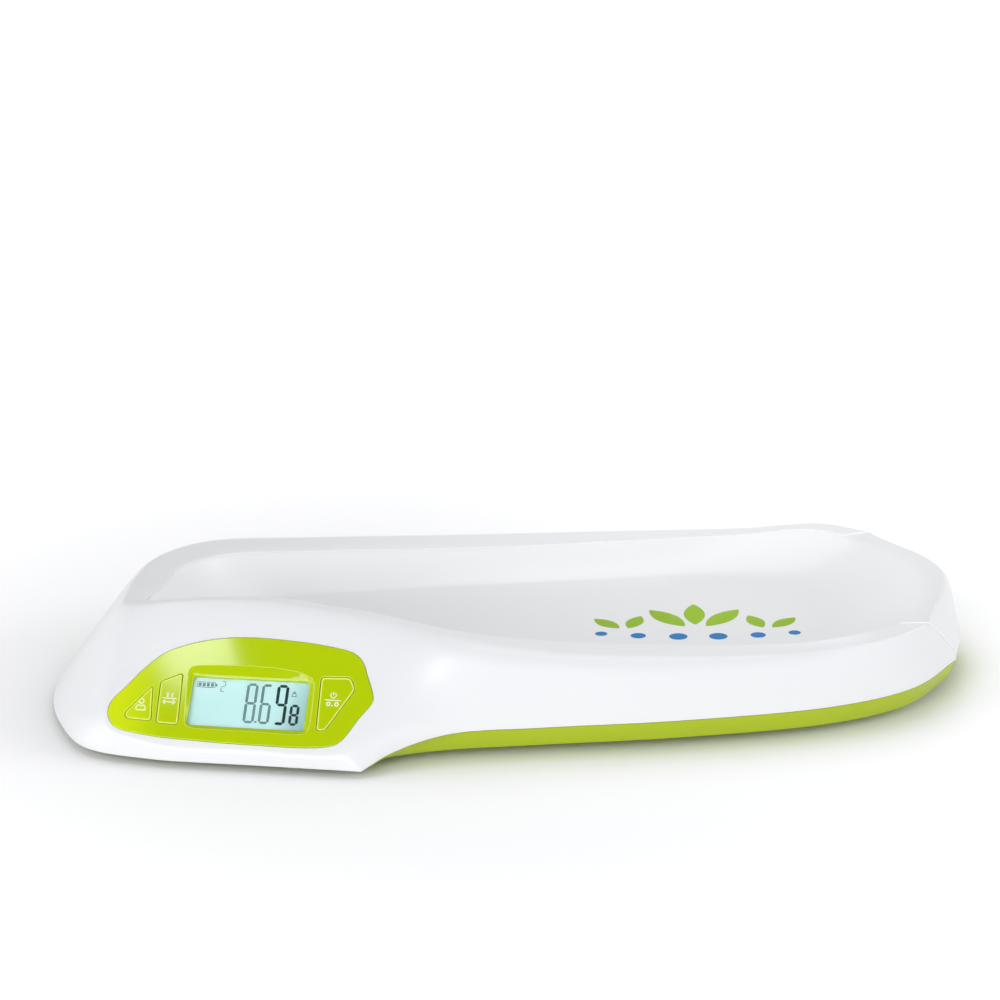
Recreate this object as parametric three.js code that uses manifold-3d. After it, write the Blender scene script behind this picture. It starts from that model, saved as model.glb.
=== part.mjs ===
// Digital baby weighing scale: a white tray moulding with a display pod, on a lime-green base.
// Millimetres, +Z up. +X is the foot end and -Y the display side.
// The origin is the middle of the footprint, on the surface that the feet stand on.

import * as THREE from 'three';
import { mergeVertices } from 'three/addons/utils/BufferGeometryUtils.js';
import Module from 'manifold-3d';

const wasm = await Module();
wasm.setup();

// Overall sizes
const LENGTH = 600;
const TRAY_HALF_WIDTH = 138;
const POD_REACH_SHARE = 1.134;
const HEIGHT = 85;
const TRAY_LINE = (POD_REACH_SHARE - 1) * TRAY_HALF_WIDTH / 2;
const OVERRUN = 60;

// Clearances and walls
const GAP = 0.3;
const WALL = 2.8;
const DECK_DROP = 0.6;

// Tray sections from the middle of the foot end to the side, mirrored about the tray line.
// Each has its lower edge, crest, seam and floor edge: x in half lengths, y in half widths, z in heights.
const FOOT_SECTION_SHARES = [
  [[1.0, 0.0, 0.241], [0.945, 0.0, 0.75], [0.9, 0.0, 0.72], [0.702, 0.0]],
  [[0.948, 0.423, 0.241], [0.858, 0.645, 0.697], [0.825, 0.55, 0.688], [0.637, 0.352]],
  [[0.822, 0.746, 0.241], [0.76, 0.808, 0.689], [0.73, 0.71, 0.7], [0.54, 0.472]],
  [[0.637, 0.923, 0.241], [0.59, 0.86, 0.647], [0.575, 0.75, 0.66], [0.41, 0.521]],
  [[0.297, 1.0, 0.241], [0.297, 0.85, 0.669], [0.297, 0.718, 0.673], [0.232, 0.542]],
];

// Sections of the far side, the head end, the pod and the display side, in the same shares.
const FAR_SECTION_SHARES = [
  [[-0.092, 0.994, 0.241], [-0.092, 0.845, 0.706], [-0.092, 0.71, 0.672], [-0.092, 0.542]],
  [[-0.417, 0.993, 0.241], [-0.384, 0.83, 0.747], [-0.378, 0.695, 0.713], [-0.352, 0.535]],
  [[-0.692, 0.951, 0.218], [-0.611, 0.761, 0.793], [-0.588, 0.641, 0.759], [-0.52, 0.486]],
];
const HEAD_SECTION_SHARES = [
  [[-0.87, 0.69, 0.138], [-0.747, 0.535, 0.833], [-0.699, 0.437, 0.799], [-0.624, 0.31]],
  [[-0.95, 0.352, 0.069], [-0.799, 0.239, 0.862], [-0.747, 0.141, 0.828], [-0.666, 0.085]],
  [[-0.996, 0.0, 0.057], [-0.828, -0.042, 0.891], [-0.786, -0.049, 0.845], [-0.682, -0.028]],
  [[-0.99, -0.36, 0.057], [-0.841, -0.254, 0.925], [-0.793, -0.148, 0.869], [-0.669, -0.063]],
];
const POD_SECTION_SHARES = [
  [[-0.945, -0.675, 0.057], [-0.757, -0.324, 0.977], [-0.721, -0.197, 0.885], [-0.611, -0.085]],
  [[-0.822, -0.845, 0.057], [-0.643, -0.366, 1.0], [-0.621, -0.232, 0.905], [-0.54, -0.106]],
  [[-0.611, -0.989, 0.057], [-0.514, -0.43, 1.0], [-0.501, -0.296, 0.9], [-0.449, -0.169]],
  [[-0.387, -POD_REACH_SHARE, 0.057], [-0.423, -0.493, 0.96], [-0.407, -0.359, 0.87], [-0.371, -0.254]],
  [[-0.319, -1.056, 0.138], [-0.339, -0.563, 0.935], [-0.323, -0.43, 0.855], [-0.3, -0.338]],
];
const NEAR_SECTION_SHARES = [
  [[-0.196, -1.004, 0.23], [-0.209, -0.725, 0.886], [-0.203, -0.592, 0.82], [-0.196, -0.465]],
  [[0.005, -1.0, 0.241], [0.005, -0.82, 0.752], [0.005, -0.684, 0.745], [0.005, -0.535]],
];
const FOOT_CORNER = 1;
const FIRST_HEAD_SECTION = FOOT_SECTION_SHARES.length + FAR_SECTION_SHARES.length;
const FIRST_POD_SECTION = FIRST_HEAD_SECTION + HEAD_SECTION_SHARES.length;
const FIRST_NEAR_SECTION = FIRST_POD_SECTION + POD_SECTION_SHARES.length;
const LAST_POD_SECTION = FIRST_NEAR_SECTION - 1;
const NOSE_SECTION = LAST_POD_SECTION - 1;
const SECTION_COUNT = FIRST_NEAR_SECTION + NEAR_SECTION_SHARES.length + FOOT_SECTION_SHARES.length - 1;
const COLUMNS_PER_SECTION = 3;
const FINE_COLUMNS_PER_SECTION = 5;
const FINE_SECTIONS = [0, NOSE_SECTION, SECTION_COUNT - FOOT_CORNER];
const FLOOR_SHARE = 0.448;
const FLOOR_MIDDLE_SHARE = 0.43;

// Lower and upper ends of the straight part of each wall, in shares of its run and of its rise
const SIDE_WALL_SHARES = [[0.1, 0.22], [0.4, 0.75]];
const HEAD_WALL_SHARES = [[0.17, 0.24], [0.68, 0.75]];
const FOOT_WALL_SHARES = [
  [[0.14, 0.24], [0.45, 0.74]],
  [[0.3, 0.44], [0.65, 0.73]],
  [[0.2, 0.32], [0.52, 0.73]],
  [[0.14, 0.27], [0.45, 0.74]],
];
const RAIL_TOP_SHARE = 0.55;
const INNER_WALL_SHARE = 0.6;
const FLOOR_RING_SHARE = 0.6;

// Control panel: a tilted plane on the pod, turned towards the person who reads it
const PANEL_LENGTH_SHARE = 0.2767;
const PANEL_HEIGHT_SHARE = 0.871;
const PANEL_LENGTH = PANEL_LENGTH_SHARE * LENGTH;
const PANEL_HEIGHT = PANEL_HEIGHT_SHARE * HEIGHT;
const PANEL_PLACE_SHARES = [-0.605, -0.811, 0.428];
const PANEL_YAW = THREE.MathUtils.degToRad(16.4);
const PANEL_TILT = THREE.MathUtils.degToRad(47);

// Lower and upper ends of the flat pod face on its five sections, in panel lengths and panel heights
const POD_FACE_SHARES = [
  [[-0.588, -0.195], [-0.545, 0.327]],
  [[-0.434, -0.41], [-0.352, 0.621]],
  [[0.0, -0.43], [0.0, 0.727]],
  [[0.375, -0.41], [0.446, 0.634]],
  [[0.51, -0.04], [0.522, 0.396]],
];

// Outline of the green plate, counterclockwise from its lower left corner
const PANEL_OUTLINE_SHARES = [
  [-0.5, -0.275], [-0.37, -0.341], [-0.19, -0.367], [0.0, -0.379], [0.31, -0.362], [0.363, -0.31],
  [0.424, -0.087], [0.468, 0.074], [0.469, 0.125], [0.434, 0.333], [0.413, 0.444], [0.374, 0.524],
  [0.274, 0.577], [0.126, 0.61], [-0.021, 0.621], [-0.133, 0.6], [-0.241, 0.543], [-0.345, 0.439],
  [-0.412, 0.296], [-0.473, 0.116], [-0.528, -0.057], [-0.532, -0.165],
];
const FASCIA_DEPTH = 2.2;
const FASCIA_PROUD = 0.5;
const SEAT_DEPTH = 2.4;
const SEAT_MARGIN = 3;
const PANEL_STEPS = 2;
const CURVE_STEPS = 4;

// Display: window in the plate, lens, liquid crystal cell, light guide and their carrier
const LCD_LENGTH_SHARE = 0.442;
const LCD_HEIGHT_SHARE = 0.459;
const LCD_LENGTH = LCD_LENGTH_SHARE * PANEL_LENGTH;
const LCD_HEIGHT = LCD_HEIGHT_SHARE * PANEL_HEIGHT;
const WINDOW_SIDE = 2;
const WINDOW_HEAD = 6.2;
const WINDOW_DEPTH = 3.4;
const WINDOW_CORNER = 3;
const WINDOW_SKIRT = 2;
const LENS_MARGIN = 1.4;
const LENS_DEPTH = 1.2;
const CELL_MARGIN = 2.6;
const CELL_DEPTH = 2.2;
const LIGHT_DEPTH = 2.6;
const CARRIER_WALL = 1.3;
const STRIP_WIDTH = 2.4;

// Keys: outlines in panel lengths and panel heights, from the display's middle
const KEY_OUTLINE_SHARES = {
  user: [[-0.377, 0.12], [-0.363, -0.209], [-0.46, -0.198], [-0.468, -0.15]],
  hold: [[-0.348, 0.161], [-0.269, 0.248], [-0.259, -0.232], [-0.343, -0.225]],
  zero: [[0.263, 0.281], [0.375, 0.291], [0.398, 0.186], [0.304, -0.211], [0.27, -0.215]],
};
const KEY_CORNER = 2.4;
const KEY_SLOT = 0.35;
const KEY_FLANGE = 0.8;
const KEY_FLANGE_DEPTH = 1.2;
const KEY_STEM = 4;
const KEY_TRAVEL = 0.8;
const SWITCH_SIDE = 6.2;
const SWITCH_HEIGHT = 4;
const PLUNGER_RADIUS = 1.7;
const PLUNGER_RISE = 1.5;
const BOARD_DEPTH = 1.6;
const BOARD_SHARES = [[-0.47, -0.24], [0.39, -0.24], [0.39, 0.32], [-0.28, 0.32], [-0.47, 0.08]];
const BUZZER_RADIUS = 6;
const BUZZER_HEIGHT = 4.5;
const BUZZER_PLACE_SHARES = [0.27, 0.1];

// Base
const BASE_RISE_SHARE = 0.073;
const BASE_RISE = BASE_RISE_SHARE * HEIGHT;
const BASE_FLOOR = 3;
const BASE_WALL = 2.4;
const BASE_UNDERCUT = 7;
const BASE_TONGUE = 2.4;
const BASE_LIP = 1.2;
const BASE_TONGUE_INSET = 6;
const BASE_HIDDEN_INSET = 10;
const RIB_WIDTH = 2;
const RIB_HEIGHT = 9;
const RIB_LENGTH_SHARE = 0.62;
const RIB_WIDTH_SHARE = 0.74;
const LONG_RIB_SHARES = [-0.3, 0.36];
const CROSS_RIB_SHARES = [-0.3, 0.14, 0.46];

// Feet and load cells, placed at shares of the half length and of the tray's half width
const FOOT_PLACE_SHARES = [[-0.66, -0.54], [0.66, -0.56], [0.66, 0.56], [-0.66, 0.56]];
const FOOT_RADIUS = 17;
const FOOT_SLACK = 0.8;
const PAD_RADIUS = 14;
const PAD_DEPTH = 2.4;
const PAD_SINK = 1;
const FOOT_DISC = 3.4;
const STEM_RADIUS = 5;
const CELL_SIDE = 34;
const CELL_SLOT = 3;
const CELL_TONGUE = 14;
const CELL_THICKNESS = 2;
const SEAT_WALL = 2.4;
const SEAT_SHELF = 3;
const SEAT_FLANGE = 6;
const SEAT_FLANGE_DEPTH = 2;
const SEAT_RISE = 5;

// Screws that hold the upper mouldings to the base, at shares like those of the feet
const SCREW_PLACE_SHARES = [
  [-0.86, -0.2], [-0.34, -0.8], [0.28, -0.8], [0.83, -0.3],
  [0.83, 0.3], [0.28, 0.8], [-0.34, 0.8], [-0.86, 0.2],
];
const DECK_SCREW_SHARE = 0.5;
const SCREW_RADIUS = 1.6;
const SCREW_HEAD_RADIUS = 3;
const SCREW_HEAD = 2;
const SCREW_LENGTH = 18;
const BOSS_WALL = 2;

// Batteries, their bay, its door and the contacts
const BATTERY_COUNT = 4;
const BATTERY_RADIUS = 7.1;
const BATTERY_LENGTH = 49.2;
const BATTERY_TIP_RADIUS = 2.7;
const BATTERY_TIP = 1.3;
const BAY_PLACE_SHARES = [0.2, 0.0];
const BAY_SLACK = 1;
const BAY_WALL = 2;
const CONTACT_THICKNESS = 0.8;
const CONTACT_BUMP = 1.6;
const CONTACT_ROOM = 3;
const DOOR_DEPTH = 2;
const DOOR_LEDGE = 4;
const DOOR_SLACK = 0.5;
const HINGE_RADIUS = DOOR_DEPTH / 2;
const HINGE_PIN_LENGTH = 2.4;
const LATCH_WIDTH = 18;
const LATCH_DEPTH = 1.2;
const LATCH_GRIP = 5;
const LATCH_TONGUE = 1.5;

const ROUND_SIDES = 20;
const SMALL_SIDES = 10;

// Materials
function material(color, roughness, metalness = 0) {
  return new THREE.MeshStandardMaterial({ color, roughness, metalness, flatShading: true });
}
const glossyWhite = material(0xf3f4f7, 0.16);
const deckWhite = material(0xeceded, 0.2);
const limeGreen = material(0xbcd40f, 0.22);
const baseGreen = material(0xb2cc2a, 0.3);
const clearLens = material(0xe9f3f3, 0.05);
const displayCyan = material(0xcbe9e9, 0.35);
const lightGuide = material(0xf6fbfb, 0.4);
const boardGreen = material(0x1f6b3a, 0.5);
const blackPlastic = material(0x1c1c1e, 0.5);
const greyPlastic = material(0xc9cbce, 0.5);
const rubber = material(0x8f9296, 0.85);
const steel = material(0xb9bcc0, 0.35, 0.9);
const nickel = material(0xc8c5bb, 0.3, 0.9);
const cellJacket = material(0x2f6fb0, 0.4, 0.2);

// Solids
function solid(geometry) {
  const bare = geometry.clone();
  bare.deleteAttribute('normal');
  bare.deleteAttribute('uv');
  const merged = mergeVertices(bare);
  return new wasm.Manifold(new wasm.Mesh({
    numProp: 3,
    vertProperties: new Float32Array(merged.attributes.position.array),
    triVerts: new Uint32Array(merged.index.array),
  }));
}

function geometryOf(body) {
  const mesh = body.getMesh();
  const geometry = new THREE.BufferGeometry();
  const places = new Float32Array(mesh.numVert * 3);
  for (let i = 0; i < mesh.numVert; i += 1) {
    for (let axis = 0; axis < 3; axis += 1) {
      places[3 * i + axis] = mesh.vertProperties[mesh.numProp * i + axis];
    }
  }
  geometry.setAttribute('position', new THREE.BufferAttribute(places, 3));
  geometry.setIndex(new THREE.BufferAttribute(new Uint32Array(mesh.triVerts), 1));
  geometry.computeVertexNormals();
  return geometry;
}

function extrusion(shape, low, high, matrix = null) {
  const geometry = new THREE.ExtrudeGeometry(shape, {
    depth: high - low, bevelEnabled: false, curveSegments: CURVE_STEPS,
  });
  geometry.translate(0, 0, low);
  if (matrix) {
    geometry.applyMatrix4(matrix);
  }
  return solid(geometry);
}

function rectangle(length, width, x = 0, y = 0) {
  const shape = new THREE.Shape();
  shape.moveTo(x - length / 2, y - width / 2);
  shape.lineTo(x + length / 2, y - width / 2);
  shape.lineTo(x + length / 2, y + width / 2);
  shape.lineTo(x - length / 2, y + width / 2);
  shape.closePath();
  return shape;
}

function disc(radius, low, high, x = 0, y = 0, sides = ROUND_SIDES) {
  const geometry = new THREE.CylinderGeometry(radius, radius, high - low, sides);
  geometry.rotateX(Math.PI / 2);
  geometry.translate(x, y, (low + high) / 2);
  return solid(geometry);
}

function roundedShape(points, corner) {
  const shape = new THREE.Shape();
  points.forEach((point, i) => {
    const before = points[(i + points.length - 1) % points.length];
    const after = points[(i + 1) % points.length];
    const reachIn = Math.min(corner, point.distanceTo(before) / 2);
    const reachOut = Math.min(corner, point.distanceTo(after) / 2);
    const start = point.clone().lerp(before, reachIn / point.distanceTo(before));
    const end = point.clone().lerp(after, reachOut / point.distanceTo(after));
    if (i === 0) {
      shape.moveTo(start.x, start.y);
    } else {
      shape.lineTo(start.x, start.y);
    }
    shape.quadraticCurveTo(point.x, point.y, end.x, end.y);
  });
  shape.closePath();
  return shape;
}

// Moves every edge of an outline outwards by a distance, or inwards by a negative one.
function grown(points, distance) {
  const turn = Math.sign(THREE.ShapeUtils.area(points));
  return points.map((point, i) => {
    const before = point.clone().sub(points[(i + points.length - 1) % points.length]).normalize();
    const after = points[(i + 1) % points.length].clone().sub(point).normalize();
    const mean = before.clone().add(after).normalize();
    const stretch = distance * turn / Math.max(mean.dot(after), 0.5);
    return new THREE.Vector2(point.x + mean.y * stretch, point.y - mean.x * stretch);
  });
}

// Surface guides of the upper mouldings
function place(shares) {
  const [x, y, z = FLOOR_SHARE] = shares;
  return new THREE.Vector3(x * LENGTH / 2, TRAY_LINE + y * TRAY_HALF_WIDTH, z * HEIGHT);
}

function mirrored(section) {
  return section.map(([x, y, ...rest]) => [x, -y, ...rest]);
}

const sections = [
  ...FOOT_SECTION_SHARES,
  ...FAR_SECTION_SHARES,
  ...HEAD_SECTION_SHARES,
  ...POD_SECTION_SHARES,
  ...NEAR_SECTION_SHARES,
  ...FOOT_SECTION_SHARES.slice(1).reverse().map(mirrored),
].map((section) => section.map(place));

const panelFrame = new THREE.Matrix4();
const panelMiddle = place(PANEL_PLACE_SHARES);
const panelAcross = new THREE.Vector3(Math.cos(PANEL_YAW), -Math.sin(PANEL_YAW), 0);
const panelNormal = new THREE.Vector3(
  -Math.sin(PANEL_YAW) * Math.cos(PANEL_TILT),
  -Math.cos(PANEL_YAW) * Math.cos(PANEL_TILT),
  Math.sin(PANEL_TILT),
);
const panelUp = new THREE.Vector3().crossVectors(panelNormal, panelAcross);
panelFrame.makeBasis(panelAcross, panelUp, panelNormal);
panelFrame.setPosition(panelMiddle);

function onPanel([x, y]) {
  return new THREE.Vector2(x * PANEL_LENGTH, y * PANEL_HEIGHT);
}

function panelHeightAt(point) {
  const flat = new THREE.Vector3(point.x - panelMiddle.x, point.y - panelMiddle.y, 0);
  return panelMiddle.z - flat.dot(panelNormal) / panelNormal.z;
}

function partWay(from, to, [flatShare, riseShare]) {
  return new THREE.Vector3(
    THREE.MathUtils.lerp(from.x, to.x, flatShare),
    THREE.MathUtils.lerp(from.y, to.y, flatShare),
    THREE.MathUtils.lerp(from.z, to.z, riseShare),
  );
}

function wallSharesAt(index) {
  const fromFoot = Math.min(index, SECTION_COUNT - index);
  if (fromFoot < FOOT_WALL_SHARES.length) {
    return FOOT_WALL_SHARES[fromFoot];
  }
  const atHead = index >= FIRST_HEAD_SECTION && index < FIRST_POD_SECTION;
  return atHead ? HEAD_WALL_SHARES : SIDE_WALL_SHARES;
}

// One section's guide points: edge, lip control, low wall, high wall, shoulder control, crest, seam, floor.
function guidePoints([edge, crest, seam, floor], index) {
  const wallShares = wallSharesAt(index);
  let [low, high] = wallShares.map((shares) => partWay(edge, crest, shares));
  const [[lowShare], [highShare]] = wallShares;
  let lip = low.clone().lerp(high, -lowShare / (highShare - lowShare));
  if (index >= FIRST_POD_SECTION && index <= LAST_POD_SECTION) {
    [low, high] = POD_FACE_SHARES[index - FIRST_POD_SECTION].map((shares) => {
      const spot = onPanel(shares);
      return new THREE.Vector3(spot.x, spot.y, 0).applyMatrix4(panelFrame);
    });
    lip = new THREE.Vector3(edge.x, edge.y, panelHeightAt(edge));
  }
  const climb = (crest.z - high.z) / (high.z - low.z);
  const shoulder = high.clone().addScaledVector(high.clone().sub(low), climb);
  return [edge, lip, low, high, shoulder, crest, seam, floor];
}

// A closed curve through the sections' points, with the tangent broken at the named sections.
function loopThrough(points, corners) {
  const count = points.length;
  if (corners.length === 0) {
    const loop = new THREE.CatmullRomCurve3(points, true, 'centripetal');
    return (index) => loop.getPoint((index % count) / count);
  }
  const spans = corners.map((start, i) => {
    const end = corners[(i + 1) % corners.length];
    const steps = (end - start + count) % count;
    const run = Array.from({ length: steps + 1 }, (_, k) => points[(start + k) % count]);
    return { start, steps, curve: new THREE.CatmullRomCurve3(run, false, 'centripetal') };
  });
  return (index) => {
    const span = spans.find(({ start, steps }) => (index - start + count) % count <= steps);
    const along = (index - span.start + count) % count;
    return span.curve.getPoint(along / span.steps);
  };
}

const FOOT_CORNERS = [FOOT_CORNER, SECTION_COUNT - FOOT_CORNER];
const EDGE_CORNERS = [FOOT_CORNER, NOSE_SECTION, SECTION_COUNT - FOOT_CORNER];
const FACE_CORNERS = [FOOT_CORNER, FIRST_POD_SECTION, LAST_POD_SECTION, SECTION_COUNT - FOOT_CORNER];
const guides = (() => {
  const points = sections.map(guidePoints);
  const corners = [
    EDGE_CORNERS, EDGE_CORNERS, FACE_CORNERS, FACE_CORNERS, FACE_CORNERS, FOOT_CORNERS, [], [],
  ];
  return corners.map((list, guide) => loopThrough(points.map((section) => section[guide]), list));
})();
const columnIndices = sections.flatMap((_, i) => {
  const count = FINE_SECTIONS.includes(i) ? FINE_COLUMNS_PER_SECTION : COLUMNS_PER_SECTION;
  return Array.from({ length: count }, (_unused, k) => i + k / count);
});
const COLUMN_COUNT = columnIndices.length;
const floorMiddle = new THREE.Vector3(0, TRAY_LINE, FLOOR_MIDDLE_SHARE * HEIGHT);

function bend(from, control, to, steps) {
  const curve = new THREE.QuadraticBezierCurve3(from, control, to);
  return curve.getPoints(steps).slice(1);
}

// Points down one column of the surface, from the lower edge over the crest to the floor.
function columnPoints(index) {
  const [edge, lip, low, high, shoulder, crest, seam, floor] = guides.map((guide) => guide(index));
  const railTop = crest.clone().lerp(seam, RAIL_TOP_SHARE).setZ(crest.z);
  const innerWall = seam.clone().lerp(floor, INNER_WALL_SHARE).setZ(floor.z);
  return [
    edge,
    ...bend(edge, lip, low, 2),
    high,
    ...bend(high, shoulder, crest, 3),
    ...bend(crest, railTop, seam, 2),
    ...bend(seam, innerWall, floor, 4),
    floorMiddle.clone().lerp(floor, FLOOR_RING_SHARE),
  ];
}

const columns = columnIndices.map(columnPoints);
const ROW_COUNT = columns[0].length;
const UNDERSIDE_ROWS = [0, 2, 3, 5, 6, 8, 10, 12, 13];

function normalAt(column, row) {
  const next = columns[(column + 1) % COLUMN_COUNT][row];
  const last = columns[(column + COLUMN_COUNT - 1) % COLUMN_COUNT][row];
  const above = columns[column][Math.min(row + 1, ROW_COUNT - 1)];
  const below = columns[column][Math.max(row - 1, 0)];
  const around = next.clone().sub(last);
  return around.cross(above.clone().sub(below)).normalize();
}

// The surface's ring at a row, moved in along its normals; the lowest ring stays at its height.
function ringAt(row, depth, drop) {
  return columns.map((column, i) => {
    const normal = normalAt(i, row);
    const point = column[row].clone();
    if (row === 0) {
      normal.setZ(0).normalize();
      return point.addScaledVector(normal, -depth);
    }
    point.z -= drop;
    return point.addScaledVector(normal, -depth);
  });
}

// A closed solid from rings, the first round the top point and the last round the bottom point.
function ringSolid(top, rings, bottom) {
  const count = rings[0].length;
  const points = [top, ...rings.flat(), bottom];
  const faces = [];
  const at = (ring, i) => 1 + ring * count + (i % count);
  for (let i = 0; i < count; i += 1) {
    faces.push(0, at(0, i), at(0, i + 1));
    for (let ring = 0; ring + 1 < rings.length; ring += 1) {
      faces.push(at(ring, i), at(ring + 1, i), at(ring + 1, i + 1));
      faces.push(at(ring, i), at(ring + 1, i + 1), at(ring, i + 1));
    }
    faces.push(points.length - 1, at(rings.length - 1, i + 1), at(rings.length - 1, i));
  }
  return new wasm.Manifold(new wasm.Mesh({
    numProp: 3,
    vertProperties: new Float32Array(points.flatMap((point) => point.toArray())),
    triVerts: new Uint32Array(faces),
  }));
}

function lowered(point, drop) {
  return point.clone().setZ(point.z - drop);
}

// The walled surface itself, open below.
function skin(drop) {
  const outer = Array.from({ length: ROW_COUNT }, (_, i) => ringAt(ROW_COUNT - 1 - i, 0, drop));
  const inner = UNDERSIDE_ROWS.map((row) => ringAt(row, WALL, drop));
  const middle = lowered(floorMiddle, drop);
  return ringSolid(middle, [...outer, ...inner], lowered(middle, WALL));
}

// All the space under the surface, from a depth inside it down past the table.
function spaceUnder(depth, drop) {
  const rows = [...UNDERSIDE_ROWS].reverse();
  const rings = rows.map((row) => ringAt(row, depth, drop));
  const foot = ringAt(0, depth, 0).map((point) => point.setZ(-OVERRUN));
  const middle = lowered(floorMiddle, drop + depth);
  return ringSolid(middle, [...rings, foot], middle.clone().setZ(-OVERRUN));
}

// Plan outline of the deck: along the seam inside the rails, and out round the foot end.
function deckOutline(growth) {
  const first = FOOT_CORNER;
  const last = SECTION_COUNT - FOOT_CORNER;
  const flat = (point) => new THREE.Vector2(point.x, point.y);
  const beyond = (index) => flat(guides[0](index)).add(new THREE.Vector2(OVERRUN, 0));
  const points = [beyond(first), flat(guides[0](first)), flat(guides[5](first))];
  const alongSeam = columnIndices.filter((index) => index > first && index < last);
  alongSeam.forEach((index) => points.push(flat(guides[6](index))));
  points.push(flat(guides[5](last)), flat(guides[0](last)), beyond(last));
  return new THREE.Shape(grown(points, growth));
}

// Places given as shares of the half length and the tray's half width
function spot([x, y]) {
  return new THREE.Vector2(x * LENGTH / 2, TRAY_LINE + y * TRAY_HALF_WIDTH);
}

const BASE_TOP = BASE_RISE + BASE_FLOOR;
const BOSS_FOOT = BASE_TOP + SCREW_HEAD + WALL + GAP;
const bossRadius = SCREW_RADIUS + GAP + BOSS_WALL;

function withBosses(body, wanted, drop) {
  const space = spaceUnder(WALL / 2, drop);
  let result = body;
  SCREW_PLACE_SHARES.filter(wanted).forEach((shares) => {
    const { x, y } = spot(shares);
    const boss = disc(bossRadius, BOSS_FOOT, HEIGHT, x, y, SMALL_SIDES).intersect(space);
    result = result.add(boss);
  });
  SCREW_PLACE_SHARES.filter(wanted).forEach((shares) => {
    const { x, y } = spot(shares);
    const bore = disc(SCREW_RADIUS + GAP, 0, BASE_RISE + SCREW_LENGTH + GAP, x, y, SMALL_SIDES);
    result = result.subtract(bore);
  });
  return result;
}

const isDeckScrew = ([x]) => x > DECK_SCREW_SHARE;
const isShellScrew = (shares) => !isDeckScrew(shares);

// Panel outlines
const outlinePoints = PANEL_OUTLINE_SHARES.map(onPanel);
const panelPoints = (() => {
  const points = outlinePoints.map(({ x, y }) => new THREE.Vector3(x, y, 0));
  const curve = new THREE.CatmullRomCurve3(points, true, 'centripetal');
  return curve.getPoints(PANEL_STEPS * points.length).slice(1).map(({ x, y }) => new THREE.Vector2(x, y));
})();
const keyPoints = Object.fromEntries(
  Object.entries(KEY_OUTLINE_SHARES).map(([name, shares]) => [name, shares.map(onPanel)]),
);
const keyShape = (name, growth) => roundedShape(grown(keyPoints[name], growth), KEY_CORNER + growth);
const lensShape = (margin) => rectangle(LCD_LENGTH + 2 * margin, LCD_HEIGHT + 2 * margin);

const FASCIA_FOOT = -FASCIA_DEPTH;
const SEAT_TOP = FASCIA_FOOT - GAP;
const SEAT_FOOT = SEAT_TOP - SEAT_DEPTH;
const WINDOW_FOOT = FASCIA_PROUD - WINDOW_DEPTH - LENS_DEPTH / 2;
const LENS_TOP = WINDOW_FOOT - GAP;
const CELL_TOP = LENS_TOP - LENS_DEPTH - GAP;
const LIGHT_TOP = CELL_TOP - CELL_DEPTH - GAP;
const CARRIER_FOOT = LIGHT_TOP - LIGHT_DEPTH - GAP;
const BOARD_TOP = CARRIER_FOOT - CARRIER_WALL - GAP;
const BOARD_FOOT = BOARD_TOP - BOARD_DEPTH;
const SWITCH_TOP = BOARD_TOP + GAP + SWITCH_HEIGHT;
const PLUNGER_TOP = SWITCH_TOP + PLUNGER_RISE;
const STEM_FOOT = PLUNGER_TOP + GAP;

function upperShell() {
  let body = skin(0).subtract(extrusion(deckOutline(GAP / 2), -OVERRUN, HEIGHT + OVERRUN));
  const seatShape = new THREE.Shape(grown(outlinePoints, SEAT_MARGIN));
  const seat = extrusion(seatShape, SEAT_FOOT, SEAT_TOP, panelFrame);
  body = withBosses(body.add(seat.intersect(spaceUnder(WALL / 2, 0))), isShellScrew, 0);
  const pocket = new THREE.Shape(grown(panelPoints, GAP));
  body = body.subtract(extrusion(pocket, SEAT_TOP, OVERRUN, panelFrame));
  const opening = lensShape(WINDOW_SKIRT + GAP);
  body = body.subtract(extrusion(opening, SEAT_FOOT - OVERRUN, OVERRUN, panelFrame));
  Object.keys(keyPoints).forEach((name) => {
    const hole = keyShape(name, KEY_FLANGE + GAP);
    body = body.subtract(extrusion(hole, SEAT_FOOT - WALL, OVERRUN, panelFrame));
  });
  return body;
}

function trayDeck() {
  const space = extrusion(deckOutline(-GAP / 2), -OVERRUN, HEIGHT + OVERRUN);
  return withBosses(skin(DECK_DROP).intersect(space), isDeckScrew, DECK_DROP);
}

// A hopper with rounded corners, from the display's outline out to a larger one
function windowHopper() {
  const level = (left, foot, right, head, corner, height) => {
    const corners = [[left, foot], [right, foot], [right, head], [left, head]];
    const shape = roundedShape(corners.map(([x, y]) => new THREE.Vector2(x, y)), corner);
    const points = shape.getPoints(PANEL_STEPS).slice(0, -1);
    return points.map(({ x, y }) => new THREE.Vector3(x, y, height));
  };
  const halfLength = LCD_LENGTH / 2;
  const halfHeight = LCD_HEIGHT / 2;
  const wide = halfLength + WINDOW_SIDE;
  const outer = level(
    -wide, -halfHeight - WINDOW_SIDE, wide, halfHeight + WINDOW_HEAD, WINDOW_CORNER, FASCIA_PROUD + GAP,
  );
  const inner = level(
    -halfLength, -halfHeight, halfLength, halfHeight, WINDOW_CORNER / 2, WINDOW_FOOT - GAP,
  );
  const middle = (ring) => ring[0].clone().lerp(ring[ring.length / 2], 0.5);
  return ringSolid(middle(outer), [outer, inner], middle(inner));
}

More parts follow.
